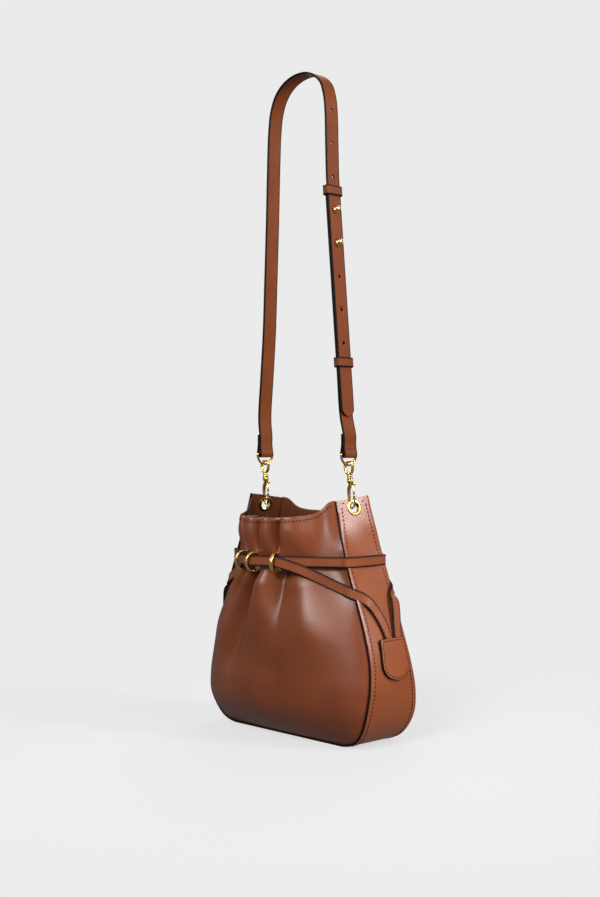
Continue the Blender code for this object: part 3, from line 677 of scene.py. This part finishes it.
def make_gusset():
    outline, outward = whole_outline(150)
    round_off = GUSSET_THICK / 2
    depth = half_depth(outline[:, 1]) + GUSSET_PROUD

    def edge_point(sign, angle):
        reach = depth - 0.7 * round_off + 0.7 * round_off * math.cos(angle)
        rise = -round_off + round_off * math.sin(angle)
        rise = rise + eyelet_twist(sign * np.sign(outline[:, 0]), outline[:, 1])
        flat = outline + rise[:, None] * outward
        drop = top_drop(sign * np.sign(outline[:, 0]), outline[:, 1])
        return np.column_stack([flat[:, 0], sign * reach, flat[:, 1] + drop])

    turns = [math.pi / 2 - math.pi * k / 6 for k in range(1, 6)]
    columns = [gusset_face(outline, outward, share) for share in np.linspace(-0.97, 0.97, 17)]
    columns += [edge_point(1, angle) for angle in turns]
    for share in np.linspace(0.95, -0.95, 9):
        columns.append(gusset_face(outline, outward, share, -GUSSET_THICK))
    columns += [edge_point(-1, angle) for angle in turns[::-1]]
    is_edge = [0] * 16 + [1] * 5 + [2] * 9 + [1] * 6  # outer face, edge, inner face and the other edge
    sections = np.stack(columns, axis=1)
    points, faces = swept(sections)
    indices = [is_edge[k] for _ in range(len(outline) - 1) for k in range(len(is_edge))] + [1, 1]
    points, faces = facing_out(settled(points), faces)
    materials = [GUSSET_LEATHER, EDGE_PAINT, INSIDE_LEATHER]
    gusset = finish_mesh("gusset_band", points, faces, materials, indices, 50)
    for name, sign in (("right", 1), ("left", -1)):
        place, normal = eyelet_frame(sign)
        cut = lathe([(EYELET_CUT, -6 * MM), (EYELET_CUT, 5 * MM)], place, normal, 32, False)
        cutter = finish_mesh(f"gusset_hole_{name}", *cut, [EDGE_PAINT])
        apply_boolean(gusset, cutter)
    place_piece(gusset, "bag", "gusset_leather", "gusset")

    fine, fine_out = whole_outline(300)
    out = np.column_stack([fine_out[:, 0], np.zeros(len(fine)), fine_out[:, 1]])
    rows = []
    for sign in (1, -1):
        share = 1 - SEAM_INLAY / (half_depth(fine[:, 1]) + GUSSET_PROUD)
        path = gusset_face(fine, fine_out, sign * share)
        keep = slice(6, -6)
        rows.append(stitches(path[keep], out[keep], sink=0.35))
    for sign in (1, -1):
        z = GUSSET_TOP - 4.5 * MM
        reach = half_depth(z) + GUSSET_PROUD - SEAM_INLAY
        for end in (-1, 1):
            line = []
            for y in np.linspace(9.4 * MM, reach, 9):
                share = end * y / (half_depth(z) + GUSSET_PROUD)
                x = half_width(z) + eyelet_twist(share * sign, z)
                line.append([sign * x, end * y, z + TOP_SLOPE * share * sign])
            rows.append(stitches(line, side_normal(z) * (sign, 1, 1), sink=0.35))
    points, faces = join_shapes(*rows)
    points[:, 2] = np.maximum(points[:, 2], 0)  # pressed flat under the base
    thread_piece("gusset_stitches", (settled(points), faces), "bag", "gusset_leather")


def apply_boolean(obj, cutter):
    """Cuts the cutter's shape away, keeping the cutter's material on the cut faces."""
    modifier = obj.modifiers.new("cut", "BOOLEAN")
    modifier.operation = "DIFFERENCE"
    modifier.solver = "EXACT"
    modifier.material_mode = "TRANSFER"
    modifier.object = cutter
    graph = bpy.context.evaluated_depsgraph_get()
    mesh = bpy.data.meshes.new_from_object(obj.evaluated_get(graph))
    obj.modifiers.remove(modifier)
    obj.data = mesh
    bpy.data.objects.remove(cutter, do_unlink=True)


# ---------------------------------------------------------------- eyelets and rings


def eyelet_frame(sign):
    spin = Matrix.Rotation(-EYELET_TURN, 3, "Z")
    normal = np.array(spin @ Vector(side_normal(EYELET_Z))) * (sign, sign, 1)
    return np.array([sign * half_width(EYELET_Z), 0, EYELET_Z]), normal


def make_eyelets():
    for name, sign in (("right", 1), ("left", -1)):
        place, normal = eyelet_frame(sign)
        outer = [(5.6, -3.5), (5.6, 0.4), (5.7, 0.9), (6.0, 1.15), (6.35, 1.05), (6.55, 0.9), (7.0, 0.88)]
        outer += [(7.8, 0.84), (8.5, 0.74), (8.88, 0.52), (9.0, 0.26), (8.9, 0.0), (6.05, -0.3), (6.05, -3.5)]
        brass_piece(f"eyelet_{name}", lathe(in_mm(outer), place, normal), "bag", 50)
        back = [(6.15, -2.9), (6.15, -3.25), (6.7, -3.55), (7.6, -3.55)]
        back += [(8.5, -3.35), (8.8, -3.1), (8.6, -2.9)]
        brass_piece(f"eyelet_washer_{name}", lathe(in_mm(back), place, normal), "bag", 50)


def make_rings():
    for side, ((x, y), direction) in RING_PLACES.items():
        out = unit(np.array([*direction, 0.0]))
        flat = np.array([-out[1], out[0], 0.0])
        base = np.array([x * MM, y * MM, BELT_Z - 1.5 * MM]) + 0.9 * MM * out
        path = [base - 3.5 * MM * out - RING_RADIUS * UP]
        for angle in np.linspace(-math.pi / 2, math.pi / 2, 31):
            path.append(base + RING_RADIUS * (math.cos(angle) * out + math.sin(angle) * UP))
        path.append(base - 3.5 * MM * out + RING_RADIUS * UP)
        points, faces = tube(path, 1.4 * MM, flat, sides=20, flatten=1.55)
        other = {"left": "right", "right": "left"}.get(side, side)
        for node, turn in ((f"front_{side}", 1), (f"rear_{other}", np.array([-1, -1, 1]))):
            brass_piece(f"belt_ring_{node}", (points * turn, faces), "bag")


# ---------------------------------------------------------------- belts and tabs


def ring_point(side, layer):
    (x, y), direction = RING_PLACES[side]
    out = unit(np.array([*direction, 0.0]))
    return [*(np.array([x * MM, y * MM, BELT_Z]) + layer * out), *out]


def gusset_point(y, z, stand, turn=0.0):
    """A place on a belt's tail: how far it stands off the gusset, and how far it is turned."""
    normal = side_normal(z)
    lift = stand + gusset_bow(z) * (1 - (y / half_depth(z)) ** 2)
    return [*(np.array([half_width(z), y, z]) + lift * normal), *unit(normal - turn * ACROSS)]


CORNER_TURN = [(-4.5, 2.4, 0.42), (-0.2, 0.6, 0.6), (1.5, -4.0, 0.88)]
LOOSE_TURN = [(-14, 5.6, 0.42), (-5.5, 3.4, 0.5), (0.8, -0.6, 0.62), (3.3, -7.5, 0.76)]
REAR_TURN = [(-14, 5.2, 0.42), (-5.5, 2.4, 0.52), (1.2, -0.8, 0.7), (3.8, -4.6, 0.9)]


def corner_points(z, sign, turn=CORNER_TURN, fall=0.0):
    """Points round a corner of the gusset, each as (out, beyond, how far it faces sideways)."""
    x, y = half_width(z), half_depth(z) + GUSSET_PROUD
    points = []
    for k, (out, beyond, share) in enumerate(turn):
        normal = unit(np.array([share, sign * (1 - share), 0.0]))
        drop = fall * (1 - 2 * k / (len(turn) - 1))
        points.append([x + out * MM, sign * (y + beyond * MM), z + drop, *normal])
    return points


def straight_run(start, end, count):
    return [list(mix(np.array(start), np.array(end), 0, count + 1, k)) for k in range(1, count + 1)]


def chord_point(x, y, z, normal=(0.55, 0.83)):
    return [x * MM, y * MM, z * MM, normal[0], math.copysign(normal[1], y), 0]


# The belt's two ends on the gusset, as (depth, height, stand) in mm and a turn: the front one faces forwards.
FRONT_TAIL = [
    (1, 107, 1.9, 0), (-0.5, 119, 1.9, 0), (-3.5, 131, 2.3, 0.08),
    (-8.5, 142, 2.8, 0.18), (-15, 151, 3.2, 0.27),
]  # fmt: skip
REAR_TAIL = [
    (22.8, 150, 4.6, 0), (20.4, 139, 4.3, 0), (17.9, 129, 3.2, 0),
    (15.8, 119, 2.2, 0), (14.7, 112, 1.9, 0), (14.3, 106, 1.9, 0),
]  # fmt: skip


def belt_line():
    """Belt A's middle line, with the way its face points: from the right tab round the bag and back to it."""
    front_tail = [gusset_point(y * MM, z * MM, stand * MM, turn) for y, z, stand, turn in FRONT_TAIL]
    front_tail += corner_points(163 * MM, -1, LOOSE_TURN, 4.5 * MM)[::-1]
    front_tail += [chord_point(63, -51.5, 180.5)]
    front_tail += [chord_point(50, -60.5, 187), chord_point(39, -68.5, 191.5, (0.45, 0.89))]
    front = [ring_point(side, OUTER_LAYER) for side in ("right", "centre", "left")]
    mirror = np.array([-1, 1, 1, -1, 1, 1])
    corners = corner_points(BELT_Z, -1) + corner_points(BELT_Z, 1)[::-1]
    left_turn = [list(np.array(p) * mirror) for p in corners]
    half_turn = np.array([-1, -1, 1, -1, -1, 1])
    rear = [list(np.array(ring_point(side, INNER_LAYER)) * half_turn) for side in ("right", "centre", "left")]
    rear_tail = [chord_point(39, 64.8, 191.5, (0.45, 0.89)), chord_point(50, 57, 187)]
    rear_tail += [chord_point(63, 48, 180.5), *corner_points(165 * MM, 1, REAR_TURN, 6 * MM)]
    rear_tail += [gusset_point(y * MM, z * MM, stand * MM, turn) for y, z, stand, turn in REAR_TAIL]
    loop = front + straight_run(front[-1], left_turn[0], 3) + left_turn
    loop += straight_run(left_turn[-1], rear[0], 3) + rear
    return resample(smooth_curve(front_tail + loop + rear_tail, 8), 620)


def make_belts():
    line = belt_line()
    path, normals = line[:, :3], unit(line[:, 3:])
    side = unit(np.cross(tangents(path), normals))
    face = np.cross(side, tangents(path))
    points, faces, indices = band(path, normals, BELT_WIDTH, BELT_THICK, BELT_BORDER)
    rows = []
    for sign in (1, -1):
        row = path + sign * (BELT_WIDTH / 2 - 1.7 * MM) * side + BELT_THICK / 2 * face
        rows.append(stitches(row, face, length=2.6 * MM, gap=1.4 * MM, radius=0.36 * MM))
    thread_points, thread_faces = join_shapes(*rows)
    materials = [BELT_LEATHER, EDGE_PAINT]
    for name, turn, tab in (("a", 1, "right_tab"), ("b", -1, "left_tab")):
        spin = np.array([turn, turn, 1])
        belt = finish_mesh(f"belt_{name}_leather", points * spin, faces, materials, indices, 60)
        thread = finish_mesh(f"belt_{name}_stitches", thread_points * spin, thread_faces, [DARK_THREAD])
        for obj in (belt, thread):
            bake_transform(obj)
        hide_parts(f"belt_{name}")


def tab_outline(inset=0.0):
    """The pull tab's outline as (y, drop) going once round from its top corner, moved in by an inset."""
    half = [(17.2, 0.2), (18.4, 1.4), (19.4, 12), (20.6, 25), (20.5, 30)]
    half += [(18.6, 35.5), (14.5, 39.8), (8, 42.8), (0, 44.4)]
    right = smooth_curve([(y * MM, d * MM) for y, d in half], 5)
    left = right[::-1] * (-1, 1)
    top = np.array([[y * MM, -0.6 * MM * (1 - (y / 17.2) ** 2)] for y in np.linspace(-15.5, 15.5, 9)])
    ring = np.vstack([right, left[1:], top])
    along = unit(np.roll(ring, -1, axis=0) - np.roll(ring, 1, axis=0))
    return ring + inset * np.column_stack([-along[:, 1], along[:, 0]])


def make_tabs():
    normal = side_normal(TAB_Z - 22 * MM)
    down = np.array([normal[2], 0, -normal[0]])
    top = np.array([half_width(TAB_Z), TAB_Y, TAB_Z]) + 4.2 * MM * normal
    ring = tab_outline()
    centre = ring.mean(axis=0)

    def lay(outline, lift):
        return top + outline[:, :1] * ACROSS - outline[:, 1:] * -down + lift * normal

    half = TAB_THICK / 2
    levels = [(-half, 0.45), (-half + 0.35 * MM, 0.1), (0, 0.0), (half - 0.35 * MM, 0.1), (half, 0.5)]
    rings = [lay(tab_outline(inset * MM), lift) for lift, inset in levels]
    for shrink, lift in ((0.9, half + 0.25 * MM), (0.5, half + 0.45 * MM), (0.12, half + 0.5 * MM)):
        rings.append(lay(centre + (ring - centre) * shrink, lift))
    points, faces = swept(rings)
    count = len(ring)
    indices = [1 if i < 4 else 0 for i in range(len(rings) - 1) for _ in range(count)] + [1, 0]
    points, faces = facing_out(points, faces)
    row = tab_outline(2.6 * MM)
    row = np.vstack([row, row[:1]])
    row = lay(row, half + 0.2 * MM)
    thread_points, thread_faces = stitches(row, normal, length=2.4 * MM, gap=1.2 * MM)
    materials = [GUSSET_LEATHER, EDGE_PAINT]
    for name, turn in (("right", 1), ("left", -1)):
        spin = np.array([turn, turn, 1])
        tab = finish_mesh(f"tab_{name}_leather", points * spin, faces, materials, indices, 60)
        place_piece(tab, f"{name}_tab", "tab_leather", f"tab_{name}")
        thread = (thread_points * spin, thread_faces)
        thread_piece(f"tab_{name}_stitches", thread, f"{name}_tab", "tab_leather")


# ---------------------------------------------------------------- hooks, eyes and D-rings


def hook_frame(name):
    x, tilt = HOOKS[name]
    return Matrix.Translation((x, 0, BOW_Z)) @ Matrix.Rotation(tilt, 4, "Y")


def frame_parts(matrix):
    """A frame's across and up directions, and its origin."""
    across, up = (np.array(matrix.to_3x3() @ Vector(way)) for way in ((0, 1, 0), (0, 0, 1)))
    return across, up, np.array(matrix @ Vector((0, 0, 0)))


def placed(matrix, rows):
    return np.array([matrix @ Vector(row) for row in rows])


def mm_rows(rows):
    return [(x * MM, 0, z * MM) for x, z in rows]


def make_hook(name):
    matrix = hook_frame(name) @ Matrix.Rotation(HOOK_TURN, 4, "Z")
    flat, up, origin = frame_parts(matrix)
    radius, shift = HOOK_BOW / MM, BOW_SHIFT / MM
    turns = np.linspace(math.pi, 2 * math.pi, 9)
    bow = [(shift + radius * math.cos(a), shift + radius * math.sin(a)) for a in turns]
    neck = [(0, 22.5), (0, 20.5), (-1.8, 18.2), (-5.0, 14.6), (-6.3, 10.5), (-6.5, 5)]
    knots = [*neck, *bow, (5.6, 3), (5.9, 6)]
    path = placed(matrix, smooth_curve(mm_rows(knots), 6))
    share = np.linspace(0, 1, len(path))
    radii = (1.5 + 0.5 * hump(share, 0.2, 0.12) - 0.2 * smoothstep(0.4, 0.55, share)) * MM
    arm = tube(path, radii, flat, sides=20)
    profile = [(1.0, 19.6), (2.2, 19.9), (3.1, 20.8), (3.5, 22.2), (3.5, 23.4)]
    profile += [(3.0, 24.6), (3.3, 25.0), (3.3, 26.4), (2.9, 26.7), (1.0, 26.7)]
    collar = lathe(in_mm(profile), origin, up, 40, False)
    brass_piece(f"hook_{name}", join_shapes(arm, collar), f"{name}_hook")
    lever = [(6, 7.0), (6, 11), (5.3, 14.4), (4.0, 17.4)]
    lever += [(5.3, 19.5), (7.6, 20.3), (9.3, 19.0), (9.1, 17.0)]
    gate_path = placed(matrix, smooth_curve(mm_rows(lever), 7))
    share = np.linspace(0, 1, len(gate_path))
    gate_radii = (1.15 + 0.35 * hump(share, 0.48, 0.12) + 0.25 * hump(share, 1.0, 0.12)) * MM
    brass_piece(f"gate_{name}", tube(gate_path, gate_radii, flat, sides=16), f"{name}_gate")


def eye_heights(name):
    tilt = HOOKS[name][1]
    top = (DRING_BAR_Z - DRING_RADIUS + 3.4 * MM - BOW_Z) / math.cos(tilt)
    return top, 30.0 * MM


def dring_x(name):
    top, _ = eye_heights(name)
    return (hook_frame(name) @ Vector((0, 0, top - 3.0 * MM))).x


def make_eye(name):
    matrix = hook_frame(name)
    top, bottom = eye_heights(name)
    middle, half_tall, half_wide = (top + bottom) / 2, (top - bottom) / 2, 5.4 * MM
    loop = []
    for angle in np.linspace(0, 2 * math.pi, 48, endpoint=False):
        flare = 1 + 0.24 * math.sin(angle)
        x = half_wide * flare * math.copysign(abs(math.cos(angle)) ** 0.7, math.cos(angle))
        z = middle + half_tall * math.copysign(abs(math.sin(angle)) ** 0.8, math.sin(angle))
        loop.append((x, 0, z))
    flat, up, origin = frame_parts(matrix)
    ring = tube(placed(matrix, loop), 1.5 * MM, flat, closed=True, sides=16, flatten=1.15)
    profile = [(1.3, 25.0), (1.3, 26.9), (2.4, 27.0), (3.1, 27.6)]
    profile += [(3.2, 28.3), (2.6, 29.1), (1.9, 29.7), (1.0, 30.4)]
    pin = lathe(in_mm(profile), origin, up, 32, False)
    brass_piece(f"swivel_eye_{name}", join_shapes(ring, pin), f"{name}_eye")


def make_dring(name):
    x = dring_x(name)
    arc = np.linspace(math.pi, 2 * math.pi, 33)
    path = [(x, DRING_RADIUS * math.cos(a), DRING_BAR_Z + DRING_RADIUS * math.sin(a)) for a in arc]
    path += [(x, y * MM, DRING_BAR_Z + 0.2 * MM) for y in (11.3, 10.4, 8.8, 5, 0, -5, -8.8, -10.4, -11.3)]
    brass_piece(f"dring_{name}", tube(path, 1.3 * MM, (1, 0, 0), closed=True), "strap")


# ---------------------------------------------------------------- the strap


def leg_line(z):
    return LEG_FOOT[0] * MM + LEG_LEAN * (z - LEG_FOOT[1] * MM)


def leg_normal():
    return unit(np.array([1.0, 0.0, -LEG_LEAN]))


def folded_end(bar_x):
    ring = 1.8 * MM + STRAP_THICK / 2
    knots = [(bar_x - 1.3 * MM, 332 * MM), (bar_x - 1.3 * MM, 320 * MM), (bar_x - 2.2 * MM, 314 * MM)]
    for angle in np.linspace(math.pi, 2 * math.pi, 5):
        knots.append((bar_x + ring * math.cos(angle), DRING_BAR_Z + ring * math.sin(angle)))
    return knots + [(bar_x + 2.2 * MM, 314 * MM), (bar_x + 1.35 * MM, 320 * MM), (bar_x + 1.4 * MM, 330 * MM)]


CURVED_FROM = 615 * MM  # above this height the long strap leaves its straight leg
LONG_RIGHT_LEG = [(28.4, 722), (34.6, 707), (37.1, 690), (38.3, 655), (39.6, 615)]
CROWN = [(-72.2, 350), (-68.3, 400), (-64.3, 450), (-61.6, 510), (-58.9, 575), (-56.8, 640), (-54.8, 680),
         (-51.4, 702), (-43.5, 719), (-30, 730.6), (-10, 736.6), (11, 734.4)]  # fmt: skip


def strap_line(knots):
    line = smooth_curve([(x, 0, z) for x, z in knots], 9)
    normals = np.cross(tangents(line), np.broadcast_to(ACROSS, line.shape))
    return line, normals


def strap_band(name, knots, node, holes=(), round_end=0.0):
    line, normals = strap_line(knots)
    lengths = run_lengths(line)
    if round_end:
        steps = np.array([1, 0.85, 0.7, 0.55, 0.4, 0.28, 0.18, 0.1, 0.05, 0.02, 0.005])
        extra = lengths[-1] - round_end * steps
        places = np.sort(np.concatenate([lengths[lengths < extra[0]], extra]))
        line, normals = at_lengths(line, places), unit(at_lengths(normals, places, lengths))
        near = np.clip((places - extra[0]) / round_end, 0, 1)
        width = STRAP_WIDTH * np.sqrt(1 - near**2)
    else:
        width = np.full(len(line), STRAP_WIDTH)
    points, faces, indices = band(line, normals, width, STRAP_THICK, STRAP_BORDER)
    obj = finish_mesh(name, points, faces, [STRAP_LEATHER, EDGE_PAINT], indices, 60)
    for k, (place, direction) in enumerate(holes):
        cut = lathe([(HOLE_RADIUS, -3 * MM), (HOLE_RADIUS, 3 * MM)], place, direction, 24, False)
        apply_boolean(obj, finish_mesh(f"{name}_hole_{k}", *cut, [EDGE_PAINT]))
    return place_piece(obj, "strap", "strap_leather", node)


def long_strap_x(z):
    line = smooth_curve(LONG_RIGHT_LEG, 6) * MM
    return np.interp(z, line[::-1, 1], line[::-1, 0]) if z > CURVED_FROM else leg_line(z) + STRAP_PAIR


def make_straps():
    long_knots = folded_end(dring_x("left")) + [(x * MM, z * MM) for x, z in CROWN + LONG_RIGHT_LEG]
    long_knots += [(leg_line(z * MM) + STRAP_PAIR, z * MM) for z in (596, 560, 500, 440, 380, 351)]
    short_knots = folded_end(dring_x("right"))
    short_knots += [(leg_line(z * MM) - STRAP_PAIR, z * MM) for z in (352, 400, 480, 560, 606)]
    places = [HOLE_TOP_Z - HOLE_PITCH * k for k in range(HOLE_COUNT)]
    long_holes = [((long_strap_x(z), 0, z), leg_normal()) for z in places]
    short_holes = [((leg_line(places[k]) - STRAP_PAIR, 0, places[k]), leg_normal()) for k in STUD_HOLES]
    strap_band("strap_long_leather", long_knots, "strap_long", long_holes, 9 * MM)
    strap_band("strap_short_leather", short_knots, "strap_short", short_holes)
    rows = []
    for name in ("left", "right"):
        for side in (1.0, -1.0):
            x = dring_x(name) + side * 1.9 * MM + side * STRAP_THICK / 2
            line = np.array([[x, y, 315.8 * MM] for y in np.linspace(-8.2 * MM, 8.2 * MM, 8)])
            rows.append(stitches(line, (side, 0, 0), length=2.0 * MM, gap=0.9 * MM, radius=0.28 * MM))
    thread_piece("strap_stitches", join_shapes(*rows), "strap", "strap_leather")


def make_studs():
    face = STRAP_PAIR + STRAP_THICK / 2
    head = [(1.5, -0.6), (1.5, 0.0), (2.9, 0.02), (3.1, 0.35), (2.7, 0.8), (1.9, 1.3), (1.8, 1.9)]
    head += [(2.4, 2.5), (3.2, 3.2), (3.7, 4.1), (3.75, 4.9), (3.4, 5.7), (2.7, 6.3), (1.7, 6.7), (0.6, 6.85)]
    screw = [(1.5, 0.2), (1.5, 0.0), (3.5, 0.02), (3.4, 0.8), (2.9, 1.15), (0.5, 1.2)]
    for name, hole in zip(("upper", "lower"), STUD_HOLES):
        z = HOLE_TOP_Z - HOLE_PITCH * hole
        middle = np.array([leg_line(z), 0, z])
        front, back = middle + face * leg_normal(), middle - face * leg_normal()
        brass_piece(f"stud_{name}", lathe(in_mm(head), front, leg_normal(), 40, False), "strap", 50)
        foot = lathe(in_mm(screw), back, -leg_normal(), 32, False)
        brass_piece(f"stud_screw_{name}", foot, "strap", 50)


def make_keeper(name, z, tall, body):
    """A leather loop round both straps: a band whose middle line is a rounded rectangle."""
    normal = leg_normal()
    along = np.array([-normal[2], 0, normal[0]])
    middle = np.array([leg_line(z), 0, z])
    thick = 1.5 * MM
    half_y = STRAP_WIDTH / 2 + 0.5 * MM + thick / 2
    half_n = STRAP_PAIR + STRAP_THICK / 2 + 0.45 * MM + thick / 2
    corner = 1.4 * MM
    path = []
    for quarter, (sy, sn) in enumerate([(1, 1), (-1, 1), (-1, -1), (1, -1)]):
        for step in range(7):
            angle = math.pi / 2 * (quarter + step / 6)
            y = sy * (half_y - corner) + corner * math.cos(angle)
            n = sn * (half_n - corner) + corner * math.sin(angle)
            path.append(middle + y * ACROSS + n * normal)
    path = np.array(path)
    ring_middle = path.mean(axis=0)
    tangent = tangents(path, closed=True)
    out = np.cross(tangent, along)
    out = out * np.sign((out * (path - ring_middle)).sum(axis=1))[:, None]
    shape, is_edge = band_section(tall, thick, KEEPER_BORDER)
    sections = [p + shape[:, :1] * along + shape[:, 1:] * o for p, o in zip(path, out)]
    points, faces = facing_out(*swept(sections, closed=True))
    indices = [is_edge[k] for _ in path for k in range(len(is_edge))]
    obj = finish_mesh(f"{name}_leather", points, faces, [STRAP_LEATHER, EDGE_PAINT], indices, 60)
    place_piece(obj, body, "strap_leather", name)


# ---------------------------------------------------------------- stage, lights and camera

GROUND_ALBEDO = 0.17
GROUND_GLOW = 0.64
BACKDROP = 0.83
ROOM_LIGHT, FLOOR_BOUNCE, MIRRORED_LIGHT = 0.05, 0.34, 0.16
FADE_START, FADE_END = 0.16, 0.75  # metres from the bag, over which the ground fades


def stage_material():
    """A pale ground that glows a little, for soft shadows, and fades into the backdrop's colour."""
    material, tree, ground, place = new_material("studio_ground")
    grey = (GROUND_ALBEDO, GROUND_ALBEDO, GROUND_ALBEDO, 1)
    looks = {"Base Color": grey, "Roughness": 1.0, "Specular IOR Level": 0.0}
    looks |= {"Emission Color": (1, 1, 1, 1), "Emission Strength": GROUND_GLOW}
    for key, value in looks.items():
        ground.inputs[key].default_value = value
    distance = add_node(tree, "VectorMath", sources={0: place}, operation="LENGTH").outputs["Value"]
    reach = {"From Min": FADE_START, "From Max": FADE_END}
    fade = add_node(tree, "MapRange", reach, {"Value": distance}, interpolation_type="SMOOTHERSTEP")
    clear = add_node(tree, "BsdfTransparent").outputs["BSDF"]
    layers = {"Fac": fade.outputs["Result"], 1: ground.outputs["BSDF"], 2: clear}
    blend = add_node(tree, "MixShader", sources=layers)
    tree.links.new(blend.outputs["Shader"], tree.nodes["Material Output"].inputs["Surface"])
    return material


def make_stage():
    sides, radius = 96, 0.8
    circle = [(radius * math.cos(a), radius * math.sin(a)) for a in 2 * math.pi * np.arange(sides) / sides]
    points = [(x, y, -0.0002) for x, y in circle]
    floor = finish_mesh("studio_floor", points, [tuple(range(sides))], [stage_material()])
    floor.visible_diffuse = False
    floor.visible_glossy = False


def area_light(name, azimuth, elevation, distance, size, power, glossy=True, aim=0.2):
    data = bpy.data.lights.new(name, "AREA")
    data.shape = "RECTANGLE"
    data.size, data.size_y = size
    data.energy = power
    light = bpy.data.objects.new(name, data)
    a, e = math.radians(azimuth), math.radians(elevation)
    place = Vector((math.sin(a) * math.cos(e), -math.cos(a) * math.cos(e), math.sin(e))) * distance
    target = Vector((0, 0, aim))
    light.location = place + target
    light.rotation_euler = (-place).to_track_quat("-Z", "Y").to_euler()
    light.visible_camera = False
    light.visible_glossy = glossy
    bpy.context.scene.collection.objects.link(light)


def make_lights():
    area_light("key_softbox", 19, 37, 2.2, (0.75, 0.85), 40)
    area_light("front_softbox", 36, 18, 2.2, (0.5, 0.6), 4)
    area_light("upper_softbox", 112, 29, 2.3, (0.5, 0.5), 29)
    area_light("side_softbox", 105, -1, 2.4, (0.9, 1.2), 33, glossy=False)
    area_light("back_softbox", 215, 28, 2.4, (1.4, 1.4), 30)
    area_light("fill_softbox", -60, 20, 2.4, (1.4, 1.8), 3)
    area_light("top_softbox", 0, 88, 2.0, (1.8, 1.8), 8)
    make_world()


def make_world():
    """A pale backdrop for the camera; the bag itself sees a dim room, brighter below and in its metal."""
    world = bpy.data.worlds.new("studio")
    bpy.context.scene.world = world
    world.use_nodes = True
    tree = world.node_tree
    seen = tree.nodes["Background"]
    seen.inputs["Color"].default_value = (BACKDROP, BACKDROP, BACKDROP, 1)
    ray = add_node(tree, "LightPath").outputs
    direction = add_node(tree, "TexCoord").outputs["Generated"]
    height = add_node(tree, "SeparateXYZ", sources={"Vector": direction}).outputs["Z"]
    below = {"From Min": -0.5, "From Max": 0.1, "To Min": FLOOR_BOUNCE, "To Max": 0.0}
    bounce = add_node(tree, "MapRange", below, {"Value": height}, interpolation_type="SMOOTHSTEP")
    onto_dull = {0: bounce.outputs["Result"], 1: ray["Is Diffuse Ray"]}
    dull = add_node(tree, "Math", {2: ROOM_LIGHT}, onto_dull, operation="MULTIPLY_ADD").outputs["Value"]
    onto_shiny = {0: ray["Is Glossy Ray"], 2: dull}
    strength = add_node(tree, "Math", {1: MIRRORED_LIGHT}, onto_shiny, operation="MULTIPLY_ADD")
    strengths = {"Strength": strength.outputs["Value"]}
    room = add_node(tree, "Background", sources=strengths).outputs["Background"]
    choice = {"Fac": ray["Is Camera Ray"], 1: room, 2: seen.outputs["Background"]}
    blend = add_node(tree, "MixShader", sources=choice)
    tree.links.new(blend.outputs["Shader"], tree.nodes["World Output"].inputs["Surface"])


CAMERA_AZIMUTH = 46.1
CAMERA_DISTANCE = 1.463
CAMERA_HEIGHT = 0.316
CAMERA_TURN = 0.34  # degrees to the left of the bag's axis
FOCAL_SHARE = 1300 / 897  # focal length over the picture's height


def make_camera():
    data = bpy.data.cameras.new("camera")
    data.sensor_width = 36
    data.lens = FOCAL_SHARE * 36
    camera = bpy.data.objects.new("camera", data)
    a = math.radians(CAMERA_AZIMUTH)
    camera.location = (CAMERA_DISTANCE * math.sin(a), -CAMERA_DISTANCE * math.cos(a), CAMERA_HEIGHT)
    camera.rotation_euler = (math.pi / 2, 0, math.radians(CAMERA_AZIMUTH + CAMERA_TURN))
    bpy.context.scene.collection.objects.link(camera)
    bpy.context.scene.camera = camera


def main():
    make_camera()
    make_panel("front_panel", np.array([1, 1, 1]), 0.35)
    make_panel("rear_panel", np.array([-1, -1, 1]), 1.1)
    make_gusset()
    make_eyelets()
    make_rings()
    make_belts()
    make_tabs()
    for name in ("right", "left"):
        make_hook(name)
        make_eye(name)
        make_dring(name)
    make_straps()
    make_studs()
    make_keeper("keeper_upper", 600 * MM, 11 * MM, "strap")
    make_keeper("keeper_lower", 410 * MM, 11 * MM, "keeper")
    for obj in bpy.data.objects:
        if obj.name.startswith("ring_plate"):
            obj.data.materials[0] = PLATE_BRASS
        if obj.name == "base_board":
            obj.data.materials[0] = BOARD
    make_stage()
    make_lights()
    bpy.context.scene.view_settings.view_transform = "Standard"


main()
